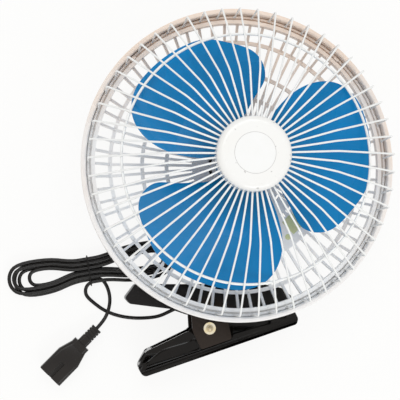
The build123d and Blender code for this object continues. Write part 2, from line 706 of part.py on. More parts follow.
def swivel_washer():
    """The washer that keeps the stem in the clip."""
    y_to = CLIP_TOP_Y - CLIP_WALL - GAP - SEAT
    disc = bar_y(SWIVEL_WASHER_R, y_to - SWIVEL_WASHER_T, y_to, 0, AXIS_Z)
    return disc - bar_y(SWIVEL_SCREW_R + SEAT, y_to - 5, y_to + 5, 0, AXIS_Z)


def swivel_screw():
    """The screw up the stem."""
    head_y = CLIP_TOP_Y - CLIP_WALL - GAP - SWIVEL_WASHER_T - 2 * SEAT
    body = bar_y(4.0, head_y - 2.4, head_y, 0, AXIS_Z)
    body += bar_y(SWIVEL_SCREW_R - 2 * SEAT, head_y - 1, head_y + 13, 0, AXIS_Z)
    return body


def tilt_reach():
    """Where the ears' outer faces are, from the middle."""
    return KNUCKLE_WIDTH / 2 + GAP + EAR_T


def tilt_bolt():
    """The bolt through the ears and the knuckle."""
    face = tilt_reach() + SEAT
    end = -face - 5.0
    head = Pos(face, TILT_Y, AXIS_Z) * Rot(0, 90, 0) * extrude(RegularPolygon(TILT_HEAD_R, 6), TILT_HEAD_T)
    return head + bar_x(TILT_BOLT_R, end, face + 1, TILT_Y, AXIS_Z)


def tilt_nut():
    """The lock nut at the bolt's other end."""
    face = -tilt_reach() - SEAT
    nut = Pos(face - 4.0, TILT_Y, AXIS_Z) * Rot(0, 90, 0) * extrude(RegularPolygon(TILT_HEAD_R, 6), 4.0)
    return nut - bar_x(TILT_BOLT_R + SEAT, face - 6, face + 1, TILT_Y, AXIS_Z)


# ---------------------------------------------------------------- clip
def grip_y(x):
    """The line where the two jaws meet."""
    return GRIP_Y + GRIP_SLOPE * x


def lever_edge(x):
    """The lower lever's straight bottom edge."""
    return LEVER_EDGE_Y + LEVER_EDGE_SLOPE * x


UPPER_OUTLINE = [
    (-88.7, -105.9), (-80.5, CLIP_TOP_Y), (23.0, CLIP_TOP_Y), (38.0, -98.0), (48.0, -106.0),
    (53.5, grip_y(53.5) + PAD_T), (-4.0, grip_y(-4.0) + PAD_T), (-40.0, -119.2), (-52.8, -114.7),
    (-84.7, -110.6)]
UPPER_CAVITY = [
    (-84.0, -105.5), (-79.0, CLIP_TOP_Y - CLIP_WALL), (-3.0, CLIP_TOP_Y - CLIP_WALL), (-3.0, -140.0),
    (-88.0, -140.0)]
JAW_POCKET = [
    (-0.6, CLIP_TOP_Y - CLIP_WALL), (22.0, CLIP_TOP_Y - CLIP_WALL), (36.8, -100.4), (45.4, -107.0),
    (48.6, grip_y(48.6) + PAD_T + CLIP_WALL), (-0.6, grip_y(-0.6) + PAD_T + CLIP_WALL)]
CHEEK_OUTLINE = [
    (-35.5, -117.0), (-34.6, -132.0), (-27.4, -147.2), (-2.6, -138.8), (-5.7, -125.6), (-4.0, -112.0)]
CHEEK_RADII = [2.0, 8.0, 2.0, 2.0, 2.0, 2.0]
LOWER_OUTLINE = [
    (-73.8, lever_edge(-73.8)), (51.3, lever_edge(51.3)), (52.6, -122.8), (49.5, grip_y(49.5) - PAD_T),
    (-8.0, grip_y(-8.0) - PAD_T), (-16.0, -122.6), (-27.0, -123.4), (-37.9, -132.7), (-71.5, -148.5),
    (-77.9, -160.5)]
LOWER_RADII = [4.5, 3.5, 2.5, 1.5, 2.0, 2.0, 2.0, 6.0, 6.0, 5.0]
LOWER_CAVITY = [
    (-73.6, -160.4), (-70.2, -163.3), (-8.0, -142.8), (-8.0, -112.0), (-40.0, -112.0), (-62.0, -132.0),
    (-64.6, -143.0)]
LOWER_RECESS = [
    (-72.7, -158.0), (-59.4, -147.6), (-31.0, -137.7), (-26.6, -147.4), (-57.6, -157.3), (-70.9, -161.6)]
RECESS_RADII = [1.2, 6.0, 3.5, 3.0, 6.0, 1.2]
LOWER_WINDOW = [(-1.5, -127.2), (-1.5, -135.6), (30.0, -126.8), (30.0, -122.4)]


def clip_upper_jaw():
    """Fixed lever: channel with top wall, flanges, hinge cheeks and the neck's seat."""
    body = slab(outline(UPPER_OUTLINE, 2.5), CLIP_REAR_Z, CLIP_FRONT_Z)
    inner_rear = CLIP_REAR_Z + CLIP_WALL
    inner_front = CLIP_FRONT_Z - CLIP_WALL
    body -= slab(outline(UPPER_CAVITY, 2.0), inner_rear, inner_front)
    body -= slab(outline(JAW_POCKET, 1.5), CLIP_REAR_Z - 1, inner_front)
    for z_from, z_to in ((CLIP_REAR_Z, inner_rear), (inner_front, CLIP_FRONT_Z)):
        body += slab(outline(CHEEK_OUTLINE, CHEEK_RADII), z_from, z_to)
    wall = block(-CLIP_WALL / 2, CLIP_WALL / 2, -17.0, 5.5, inner_rear - 1, inner_front + 1)
    body += Pos(GLAND_POINT[0], GLAND_POINT[1], 0) * Rot(0, 0, GLAND_ANGLE) * wall
    seat = bar_y(NECK_FOOT_R, CLIP_TOP_Y - CLIP_WALL, CLIP_TOP_Y, 0, AXIS_Z)
    body += seat
    room = SWIVEL_WASHER_R + 1
    body -= block(-room, room, CLIP_TOP_Y - 17, CLIP_TOP_Y - CLIP_WALL, inner_rear, inner_front)
    body -= bar_y(STEM_R + RUN, CLIP_TOP_Y - 20, CLIP_TOP_Y + 5, 0, AXIS_Z)
    body -= rod(PIVOT_R + SEAT, -1, CLIP_FRONT_Z + 1, PIVOT_X, PIVOT_Y)
    body -= gland_bar(GLAND_R + SEAT, -10, 10)
    return body


def clip_lower_jaw():
    """Moving lever: channel, its sides stepped down above a lip, with a handle recess and a window."""
    body = slab(outline(LOWER_OUTLINE, LOWER_RADII), LEVER_REAR_Z, LEVER_FRONT_Z)
    body -= slab(outline(LOWER_CAVITY, 1.5), LEVER_REAR_Z + LEVER_WALL, LEVER_FRONT_Z - LEVER_WALL)
    lip = LEVER_LIP * math.hypot(1, LEVER_EDGE_SLOPE)
    above_lip = outline([(-90, lever_edge(-90) + lip), (60, lever_edge(60) + lip), (60, -100), (-90, -100)])
    web_front = LEVER_FRONT_Z - LEVER_WEB_DROP
    web_rear = LEVER_REAR_Z + LEVER_WEB_DROP
    body -= slab(above_lip, web_front, LEVER_FRONT_Z + 1)
    body -= slab(above_lip, LEVER_REAR_Z - 1, web_rear)
    recess = outline(LOWER_RECESS, RECESS_RADII)
    window = outline(LOWER_WINDOW, 1.0)
    for z, way in ((web_front, -1), (web_rear, 1)):
        body -= extrude(Pos(0, 0, z) * recess, LEVER_RECESS, dir=(0, 0, way), taper=LEVER_RECESS_TAPER)
        body -= extrude(Pos(0, 0, z) * window, LEVER_WINDOW, dir=(0, 0, way))
    body -= rod(PIVOT_R + RUN, -1, CLIP_FRONT_Z + 1, PIVOT_X, PIVOT_Y)
    return body


def jaw_pad(side):
    """A toothed rubber pad in a jaw tip: side is 1 for the upper jaw, -1 for the lower."""
    x_from = PAD_FROM_X
    x_to = PAD_TO_X
    step = (x_to - x_from) / PAD_TEETH
    seat = side * (PAD_T - SEAT)
    face = side * GAP / 2
    points = [(x_from, grip_y(x_from) + seat)]
    for i in range(PAD_TEETH):
        x = x_from + i * step
        points.append((x + 0.15 * step, grip_y(x + 0.15 * step) + face))
        points.append((x + 0.65 * step, grip_y(x + 0.65 * step) + face))
        points.append((x + 0.9 * step, grip_y(x + 0.9 * step) + face + side * 0.8))
    points.append((x_to, grip_y(x_to) + seat))
    return slab(outline(points), CLIP_MID_Z - PAD_WIDTH / 2, CLIP_MID_Z + PAD_WIDTH / 2)


def pivot_bolt():
    """The bolt through cheeks and lever, its round head with a dome at the front."""
    head_z = CLIP_FRONT_Z + WASHER_T + 2 * SEAT
    flange_z = head_z + PIVOT_HEAD_T
    dome_z = head_z + PIVOT_DOME_T
    head = turned([
        (0, head_z), (PIVOT_HEAD_R, head_z), (PIVOT_HEAD_R, flange_z - 0.2), (PIVOT_HEAD_R - 0.3, flange_z),
        (PIVOT_DOME_R, flange_z), (PIVOT_DOME_R - 0.2, dome_z - 0.2), (PIVOT_DOME_R - 0.7, dome_z),
        (0, dome_z)])
    return Pos(PIVOT_X, PIVOT_Y, 0) * head + rod(PIVOT_R, 0.1, head_z + 0.4, PIVOT_X, PIVOT_Y)


def pivot_washers():
    """One washer under the bolt's head, one under its nut."""
    rings = []
    for z_from in (CLIP_FRONT_Z + SEAT, CLIP_REAR_Z - SEAT - WASHER_T):
        ring = rod(WASHER_R, z_from, z_from + WASHER_T, PIVOT_X, PIVOT_Y)
        rings.append(ring - rod(PIVOT_R + SEAT, z_from - 1, z_from + 2, PIVOT_X, PIVOT_Y))
    return rings


def pivot_nut():
    """The thin nut behind the rear cheek."""
    z_to = CLIP_REAR_Z - WASHER_T - 2 * SEAT
    nut = hexagon_bar(PIVOT_NUT_R, z_to - PIVOT_NUT_T, z_to, PIVOT_X, PIVOT_Y)
    return nut - rod(PIVOT_R + SEAT, -1, z_to + 1, PIVOT_X, PIVOT_Y)


def clip_spring():
    """Torsion spring: coil round the bolt, one leg on each lever's inside."""
    first_angle = SPRING_LOW_ANGLE + 90
    last_angle = SPRING_HIGH_ANGLE - 90
    turns = SPRING_FULL_TURNS + (last_angle - first_angle) % 360 / 360
    height = turns * SPRING_PITCH
    coil = Helix(SPRING_PITCH, height, SPRING_R)
    coil = Pos(PIVOT_X, PIVOT_Y, CLIP_MID_Z - height / 2) * Rot(0, 0, first_angle) * coil
    start = coil @ 0
    section = Plane(origin=start, z_dir=coil % 0) * RegularPolygon(SPRING_WIRE_R, 6)
    wire = sweep(section, coil, is_frenet=True)
    leg_low = spring_leg(start, SPRING_LOW_ANGLE, SPRING_LOW_LEG)
    leg_high = spring_leg(coil @ 1, SPRING_HIGH_ANGLE, SPRING_HIGH_LEG)
    return wire + [leg_low, leg_high]


def spring_leg(start, degrees, length):
    """A straight leg from the coil's end."""
    direction = (*at_angle(1, degrees), 0)
    overlap = 0.5
    root = Vector(*start) - Vector(*direction) * overlap
    section = Plane(origin=root, z_dir=direction) * Rot(0, 0, 15) * RegularPolygon(SPRING_WIRE_R, 6)
    return extrude(section, length + overlap)


# ---------------------------------------------------------------- switch
def switch_body():
    """The rocker switch's case and bezel in the cover's seat."""
    half_x = SWITCH_WIDTH / 2
    half_z = SWITCH_HEIGHT / 2
    face = SWITCH_Y + SEAT
    bezel = block(-half_x, half_x, face, face + SWITCH_BEZEL_T, AXIS_Z - half_z, AXIS_Z + half_z)
    case_x = half_x - 1.0 - SEAT
    case_z = half_z - 1.0 - SEAT
    body = bezel + block(-case_x, case_x, face - SWITCH_DEPTH, face + 0.5, AXIS_Z - case_z, AXIS_Z + case_z)
    well_x = half_x - 2.0
    well_z = half_z - 2.0
    body -= block(-well_x, well_x, face - 4.5, face + 5, AXIS_Z - well_z, AXIS_Z + well_z)
    pin_room = ROCKER_PIN_HALF + 2 * SEAT
    return body - rod(ROCKER_PIN_R + RUN, AXIS_Z - pin_room, AXIS_Z + pin_room, 0, ROCKER_PIN_Y)


def switch_rocker():
    """The two-way rocker on its pin."""
    half_x = SWITCH_WIDTH / 2 - 2.0 - GAP
    half_z = SWITCH_HEIGHT / 2 - 2.0 - GAP
    top = SWITCH_Y + SWITCH_BEZEL_T
    points = [(-half_x, top + ROCKER_RISE), (0, top + 0.6), (half_x, top + ROCKER_RISE)]
    points += [(half_x - 1.4, top - 2.2), (0, top - 3.6), (-half_x + 1.4, top - 2.2)]
    pin = rod(ROCKER_PIN_R, AXIS_Z - ROCKER_PIN_HALF, AXIS_Z + ROCKER_PIN_HALF, 0, ROCKER_PIN_Y)
    return slab(outline(points), AXIS_Z - half_z, AXIS_Z + half_z) + pin


# ---------------------------------------------------------------- cord
GLAND_R = 3.4
GLAND_POINT = (-40.0, -112.6, 9.6)
GLAND_ANGLE = 203.0


def gland_place(along):
    """A point on the cord's way out of the clip."""
    x, y = at_angle(along, GLAND_ANGLE)
    return (GLAND_POINT[0] + x, GLAND_POINT[1] + y, GLAND_POINT[2])


def gland_bar(radius, start, end):
    """A round bar along the cord's way out of the clip."""
    direction = (*at_angle(1, GLAND_ANGLE), 0)
    plane = Plane(origin=GLAND_POINT, z_dir=direction)
    return extrude(plane.offset(start) * Circle(radius), end - start)


def cord_gland():
    """The soft bush where the cord leaves the clip."""
    flange_from = CLIP_WALL / 2 + SEAT
    body = gland_bar(GLAND_R, -3.0, 3.2) + gland_bar(GLAND_R + 1.2, flange_from, flange_from + 1.4)
    return body - gland_bar(CORD_R + SEAT, -6, 8)


def hank_point(u, v, z):
    """A point of the hank's own frame: u along it, v across it."""
    turn = math.radians(HANK_ANGLE)
    x = HANK_WAIST_X + u * math.cos(turn) - v * math.sin(turn)
    y = HANK_WAIST_Y + u * math.sin(turn) + v * math.cos(turn)
    return (x, y, z)


def hank_strand(i):
    """Strand i: its side, distance from the middle in lobe and waist, height and lobe shift."""
    side = -1 if i % 2 == 0 else 1
    last_top = HANK_HALF_TURNS // 2
    steps = (last_top - i) / 2 if i <= last_top else (i - last_top - 1) / 2
    lobe = HANK_INNER + steps * HANK_STEP
    waist = HANK_WAIST_INNER + steps * HANK_WAIST_STEP + (HANK_START_OUT if i == 0 else 0.0)
    on_top = i <= last_top
    z = HANK_BASE + CORD_R + (LAYER_Z if on_top else 0.0)
    shift = HANK_TOP_SHIFT if on_top else 0.0
    return side, lobe, waist, z, shift


def hank_edges():
    """The hank's unbroken centreline, half turns joined by pairs of arcs."""
    edges = []
    along = hank_point(1, 0, 0)
    origin = hank_point(0, 0, 0)
    forward = (along[0] - origin[0], along[1] - origin[1], 0)
    last_top = HANK_HALF_TURNS // 2
    place = None
    for i in range(HANK_HALF_TURNS + 1):
        side, lobe, waist, z, shift = hank_strand(i)
        going = -side
        left_u = shift - HANK_LEFT
        if i in (last_top, last_top + 1):
            left_u = HANK_CLIMB_SHIFT - HANK_LEFT
        right_u = HANK_RIGHT + shift
        lobe_u = {1: right_u, -1: left_u}
        flare_u = {1: HANK_RIGHT_FLARE, -1: -HANK_LEFT_FLARE}
        direction = tuple(going * value for value in forward)
        waist_in = hank_point(-going * HANK_WAIST_STRAIGHT, side * waist, z)
        straight = HANK_START if i == 0 else HANK_WAIST_STRAIGHT
        waist_out = hank_point(going * straight, side * waist, z)
        flare_in = hank_point(flare_u[-going], side * lobe, z)
        flare_out = hank_point(flare_u[going], side * lobe, z)
        lobe_in = hank_point(lobe_u[-going], side * lobe, z)
        lobe_out = hank_point(lobe_u[going], side * lobe, z)
        if i > 0:
            edges.append(half_turn(place, lobe_in, going, forward))
            edges.append(Line(lobe_in, flare_in))
            edges += pair_of_arcs(flare_in, waist_in, direction)
            edges.append(Line(waist_in, waist_out))
        if i < HANK_HALF_TURNS:
            edges += pair_of_arcs(waist_out, flare_out, direction)
            edges.append(Line(flare_out, lobe_out))
        place = lobe_out
    return edges


def half_turn(start, end, going, forward):
    """A half turn at one end of the hank, level or climbing."""
    middle = [(a + b) / 2 for a, b in zip(start, end)]
    radius = math.dist(start, end) / 2
    crown = [m - going * radius * f for m, f in zip(middle, forward)]
    return ThreePointArc(start, tuple(crown), end)


def pair_of_arcs(start, end, direction):
    """Two equal arcs that shift a strand sideways."""
    middle = tuple((a + b) / 2 for a, b in zip(start, end))
    first = TangentArc(start, middle, tangent=direction)
    second = TangentArc(middle, end, tangent=first % 1)
    return [first, second]


def hank_ends():
    """Where the lead joins the hank and where the tail leaves it."""
    lead = hank_point(HANK_START, HANK_LEAD_V, hank_strand(0)[3])
    tail = hank_point(HANK_WAIST_STRAIGHT, HANK_TAIL_V, hank_strand(HANK_HALF_TURNS)[3])
    return lead, tail


HANK_LEAD_V = hank_strand(0)[0] * hank_strand(0)[2]
HANK_TAIL_V = hank_strand(HANK_HALF_TURNS)[0] * hank_strand(HANK_HALF_TURNS)[2]


def bends(points):
    """The bend radius at each inner point of a route."""
    radii = []
    for before, here, after in zip(points, points[1:], points[2:]):
        run_in = Vector(*here) - Vector(*before)
        run_out = Vector(*after) - Vector(*here)
        turn = math.radians(run_in.get_angle(run_out))
        shorter = min(run_in.length, run_out.length)
        radii.append(0.45 * shorter / math.tan(turn / 2))
    return radii


def cord_tube(points, name):
    """A round cord along a route of straights and arcs."""
    radii = bends(points)
    path = FilletPolyline(*points, radius=radii)
    section = Plane(origin=points[0], z_dir=path % 0) * Circle(CORD_R)
    tube = sweep(section, path)
    expected = math.pi * CORD_R ** 2 * path.length
    print(f"{name}: bends {[round(r, 1) for r in radii]}, length {path.length:.0f}")
    print(f"{name}: volume {tube.volume:.0f}, expected {expected:.0f}")
    return tube


LEAD_ON_TABLE = [
    (-58.0, -121.4, 3.6), (-67.5, -123.0, 1.5), (-81.0, -123.2, 1.5), (-94.0, -121.0, 1.5),
    (-105.0, -116.4, 1.5), (-113.0, -110.4, 2.2)]
LEAD_TURN = [(-3.6, -11.2, 3.8), (-4.3, -6.7, 5.0), (-2.5, -2.5, 6.0)]
TAIL_TURN = [(8.0, 0.0, 2.8), (12.3, -3.0, 2.8)]
TAIL_OVER = [(-100.9, -99.5, 3.6), (-99.4, -108.6, 5.2), (-101.4, -118.6, 5.6)]


def lead_route():
    """From the clip's gland over the table to the hank."""
    lead, _ = hank_ends()
    turn = [hank_point(u, HANK_LEAD_V + v, z) for u, v, z in LEAD_TURN]
    last = hank_point(1.4, HANK_LEAD_V, lead[2])
    return [gland_place(-4.0), gland_place(10.0), *LEAD_ON_TABLE, *turn, last, lead]


def tail_route():
    """From the hank, over the lead, to the plug's strain relief."""
    _, tail = hank_ends()
    turn = [hank_point(u, HANK_TAIL_V + v, z) for u, v, z in TAIL_TURN]
    return [tail, *turn, *TAIL_OVER, plug_place(-6.0), plug_place(6.0)]


def cord_hank():
    """The tied hank as one unbroken tube."""
    edges = hank_edges()
    path = Wire([edge.edge() for edge in edges])
    start = edges[0] @ 0
    section = Plane(origin=start, z_dir=edges[0] % 0) * Circle(CORD_R)
    tube = sweep(section, path)
    expected = math.pi * CORD_R ** 2 * path.length
    print(f"hank: length {path.length:.0f}, volume {tube.volume:.0f}, expected {expected:.0f}")
    print(f"hank: least gap to itself {hank_gap(path):.2f}")
    return tube


def hank_gap(path):
    """The least space between turns of the hank, on points along it."""
    step = 1.5
    count = int(path.length / step)
    points = [path @ (i / count) for i in range(count + 1)]
    away = int(14 / step)
    nearest = min(
        (points[i] - points[j]).length
        for i in range(len(points)) for j in range(i + away, len(points)))
    return nearest - 2 * CORD_R


def hank_tie():
    """A thin tie round the hank's waist."""
    reach_low = hank_strand(0)[2] + CORD_R + TIE_SPACE + TIE_R
    reach_high = hank_strand(1)[2] + CORD_R + TIE_SPACE / 2 + TIE_R
    top = HANK_BASE + 2 * CORD_R + LAYER_Z + 0.4 + TIE_R
    corners = [(-reach_low, TIE_R), (reach_high, TIE_R), (reach_high, top), (-reach_low, top)]
    points = [hank_point(TIE_AT, v, z) for v, z in corners]
    path = FilletPolyline(*points, radius=1.6, close=True)
    start = path @ 0
    section = Plane(origin=start, z_dir=path % 0) * RegularPolygon(TIE_R, 6)
    return sweep(section, path)


# ---------------------------------------------------------------- plug
def plug_place(along, across=0.0, up=0.0):
    """A point at a distance along the plug from where the cord enters."""
    turn = math.radians(PLUG_ANGLE)
    x = PLUG_START[0] + along * math.cos(turn) - across * math.sin(turn)
    y = PLUG_START[1] + along * math.sin(turn) + across * math.cos(turn)
    return (x, y, PLUG_HEIGHT / 2 + up)


def plug_plane(along):
    """A plane across the plug."""
    across = (*at_angle(1, PLUG_ANGLE + 90), 0)
    onward = (*at_angle(1, PLUG_ANGLE), 0)
    return Plane(origin=plug_place(along), x_dir=across, z_dir=onward)


def plug_relief():
    """The ribbed strain relief."""
    step = RELIEF_LENGTH / (2 * RELIEF_RIBS)
    body = None
    for i in range(2 * RELIEF_RIBS):
        share = i / (2 * RELIEF_RIBS - 1)
        radius = RELIEF_R_START + share * (RELIEF_R_END - RELIEF_R_START)
        if i % 2:
            radius -= 0.9
        ring = extrude(plug_plane(i * step) * Circle(radius), step)
        body = ring if body is None else body + ring
    return body - extrude(plug_plane(-1) * Circle(CORD_R + SEAT), RELIEF_LENGTH + 2)


def plug_body():
    """The moulded two-pole plug: collar, taper, square end with a slot on top."""
    start = RELIEF_LENGTH + SEAT
    end = start + PLUG_LENGTH
    collar = plug_plane(start) * RectangleRounded(PLUG_NECK_WIDTH, PLUG_NECK_HEIGHT, 3.0)
    wide = plug_plane(start + PLUG_TAPER) * RectangleRounded(PLUG_WIDTH, PLUG_HEIGHT, 3.0)
    far = plug_plane(end) * RectangleRounded(PLUG_WIDTH, PLUG_HEIGHT, 3.0)
    body = loft([collar, wide], ruled=True) + loft([wide, far], ruled=True)
    slot_start = end - PLUG_SLOT_LENGTH
    slot = extrude(plug_plane(slot_start) * Pos(0, PLUG_HEIGHT / 2) * Rectangle(PLUG_SLOT_WIDTH, 4.0), 30)
    body -= slot
    for side in (-1, 1):
        place = plug_plane(end - SOCKET_DEPTH) * Pos(side * CONTACT_SPACING / 2, -1.0)
        body -= extrude(place * Circle(CONTACT_R + 0.5), SOCKET_DEPTH + 1)
    return body


def plug_contacts():
    """Two sleeve contacts in the plug's wells."""
    end = RELIEF_LENGTH + SEAT + PLUG_LENGTH
    sleeves = []
    for side in (-1, 1):
        place = plug_plane(end - SOCKET_DEPTH + SEAT) * Pos(side * CONTACT_SPACING / 2, -1.0)
        sleeve = extrude(place * Circle(CONTACT_R), SOCKET_DEPTH - 2)
        bore = plug_plane(end - SOCKET_DEPTH + 3) * Pos(side * CONTACT_SPACING / 2, -1.0)
        sleeves.append(sleeve - extrude(bore * Circle(CONTACT_R - 0.6), SOCKET_DEPTH))
    return sleeves


# ---------------------------------------------------------------- write all
def group(shapes):
    """Separate solids as one node."""
    return Compound(children=[one.solid() if hasattr(one, "solid") else one for one in shapes])


save(motor_cover(), "motor_cover")
save(group(cover_screws()), "cover_screws")
save(motor_can(), "motor_can")
save(motor_end_cap(), "motor_end_cap")
save(group(magnets()), "magnets")
save(armature(), "armature")
save(commutator(), "commutator")
save(group(brushes()), "brushes")
save(motor_shaft(), "motor_shaft")
save(bush(FRONT_BUSH_Z), "front_bush")
save(bush(MOTOR_BACK_Z + 1.25), "rear_bush")
save(group(motor_screws()), "motor_screws")
save(rear_guard(), "rear_guard")
save(group(rim_latches()), "rim_latches")
save(group(around(spoke(), SPOKE_COUNT, SPOKE_FIRST_ANGLE)), "grille_spokes")
save(grille_mid_ring(), "grille_mid_ring")
save(ring_wire(RIM_RING_R, RIM_RING_Z), "grille_rim_ring")
save(grille_disc(), "grille_disc")
save(grille_cap(), "grille_cap")
save(cap_badge(), "cap_badge")
save(impeller(), "impeller")
save(blade_nut(), "blade_nut")
save(neck(), "neck")
save(swivel_washer(), "swivel_washer")
save(swivel_screw(), "swivel_screw")
save(tilt_bolt(), "tilt_bolt")
save(tilt_nut(), "tilt_nut")
save(clip_upper_jaw(), "clip_upper_jaw")
save(clip_lower_jaw(), "clip_lower_jaw")
save(jaw_pad(1), "jaw_pad_upper")
save(jaw_pad(-1), "jaw_pad_lower")
save(pivot_bolt(), "pivot_bolt")
save(group(pivot_washers()), "pivot_washers")
save(pivot_nut(), "pivot_nut")
save(clip_spring(), "clip_spring")
save(switch_body(), "switch_body")
save(switch_rocker(), "switch_rocker")
save(cord_gland(), "cord_gland")
save(cord_tube(lead_route(), "lead"), "cord_lead")
save(cord_hank(), "cord_hank")
save(cord_tube(tail_route(), "tail"), "cord_tail")
save(hank_tie(), "hank_tie")
save(plug_relief(), "plug_relief")
save(plug_body(), "plug_body")
save(group(plug_contacts()), "plug_contacts")
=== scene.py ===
# %% [markdown]
# # A clip fan, dressed
# The fan lies on its back on a white table, with its cord tied in a hank beside it.
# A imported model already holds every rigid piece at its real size. This script adds what
# such a model can't hold: smooth round wire, a supple cord, moulded and plated finishes,
# light and a camera. Each markdown cell says what the next piece is and why it is made so.

# %% Load the frame
import math
from collections import namedtuple

import bmesh
import bpy
from mathutils import Matrix, Vector


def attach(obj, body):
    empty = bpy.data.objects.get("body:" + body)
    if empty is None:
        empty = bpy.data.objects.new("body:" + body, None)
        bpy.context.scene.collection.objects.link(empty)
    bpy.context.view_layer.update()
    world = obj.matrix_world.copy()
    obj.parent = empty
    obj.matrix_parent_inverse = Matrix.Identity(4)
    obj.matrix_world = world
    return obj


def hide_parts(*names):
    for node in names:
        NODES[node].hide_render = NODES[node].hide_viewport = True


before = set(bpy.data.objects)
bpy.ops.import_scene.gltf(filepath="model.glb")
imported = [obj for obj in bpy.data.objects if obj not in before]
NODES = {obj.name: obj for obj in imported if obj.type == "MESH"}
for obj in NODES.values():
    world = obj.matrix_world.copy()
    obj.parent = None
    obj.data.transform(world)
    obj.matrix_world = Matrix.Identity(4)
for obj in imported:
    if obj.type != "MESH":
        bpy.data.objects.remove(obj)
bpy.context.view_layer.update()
MM = 0.001

# %% [markdown]
# ## The camera
# The photograph looks down at the fan from a little left of its middle and a little
# towards the clip, so the camera hangs 0.82 m up and leans a few degrees. A long lens
# keeps the cage nearly round. Place, aim and focal length fit the rim, the ring and the cap.

# %% Camera
CAMERA_PLACE = Vector((-0.12504, -0.08983, 0.81746))
CAMERA_AIM = Vector((0.123, 0.080, -1.0)).normalized()
FOCAL_IN_PIXELS = 979.1
PHOTO_PIXELS = 400.0
SENSOR = 36.0

right = CAMERA_AIM.cross(Vector((0, 1, 0))).normalized()
upward = right.cross(CAMERA_AIM)
turn = Matrix((right, upward, -CAMERA_AIM)).transposed()
lens = bpy.data.cameras.new("camera")
lens.sensor_width = SENSOR
lens.lens = SENSOR * FOCAL_IN_PIXELS / PHOTO_PIXELS
camera = bpy.data.objects.new("camera", lens)
camera.matrix_world = Matrix.Translation(CAMERA_PLACE) @ turn.to_4x4()
bpy.context.scene.collection.objects.link(camera)
bpy.context.scene.camera = camera
bpy.context.scene.view_settings.view_transform = "Standard"
print(f"lens {lens.lens:.1f} mm")

# %% [markdown]
# ## Arithmetic for node trees
# A mask is easier to read as `0.3 + 0.1 * noise` than as a row of Math nodes. The class
# Value wraps a socket, and each operator adds the Math node that does its sum. Nodes has
# the one method that makes any other node, and the same two serve shaders and Geometry Nodes.

# %% Value and Nodes


class Value:
    """A socket that takes part in Python arithmetic."""

    def __init__(self, nodes, socket):
        self.nodes = nodes
        self.socket = socket

    def _sum(self, operation, first, second):
        return self.nodes.node("ShaderNodeMath", {"operation": operation}, {0: first, 1: second})

    def __add__(self, other):
        return self._sum("ADD", self, other)

    def __radd__(self, other):
        return self._sum("ADD", other, self)

    def __sub__(self, other):
        return self._sum("SUBTRACT", self, other)

    def __rsub__(self, other):
        return self._sum("SUBTRACT", other, self)

    def __mul__(self, other):
        return self._sum("MULTIPLY", self, other)

    def __rmul__(self, other):
        return self._sum("MULTIPLY", other, self)

    def __abs__(self):
        return self.nodes.node("ShaderNodeMath", {"operation": "ABSOLUTE"}, {0: self})

    def above(self, edge, softness):
        """0 below the edge, 1 above it, smooth in between."""
        settings = {"interpolation_type": "SMOOTHSTEP"}
        inputs = {"Value": self, "From Min": edge - softness, "From Max": edge + softness}
        return self.nodes.node("ShaderNodeMapRange", settings, inputs, "Result")

    def pick(self, low_colour, high_colour):
        """A colour between two, by this value."""
        inputs = {"Factor": self, 6: low_colour, 7: high_colour}
        return self.nodes.node("ShaderNodeMix", {"data_type": "RGBA"}, inputs, 2)


class Nodes:
    """A node tree in the making."""

    def __init__(self, tree):
        self.tree = tree

    def node(self, kind, settings=None, inputs=None, output=0):
        """Any node: its settings first, then the values or links of its sockets."""
        made = self.tree.nodes.new(kind)
        for key, value in (settings or {}).items():
            setattr(made, key, value)
        for key, value in (inputs or {}).items():
            self.join(value, made.inputs[key])
        return Value(self, made.outputs[output])

    def join(self, value, socket):
        """Link a Value or a list of them to a socket, or set a plain number or colour."""
        if isinstance(value, list):
            for one in value:
                self.tree.links.new(one.socket, socket)
        elif isinstance(value, Value):
            self.tree.links.new(value.socket, socket)
        elif isinstance(value, tuple) and len(value) == 3 and socket.type == "RGBA":
            socket.default_value = (*value, 1.0)
        else:
            socket.default_value = value


print("node arithmetic ready")

# %% [markdown]
# ## One class for every finish
# Each finish is one Principled shader. What varies over a surface, such as colour, gloss and
# the fine relief of a moulding, is worked out from noise in the piece's own metres, so a
# grain has its real size on every piece and stays where it is when the piece moves.

# %% Finish


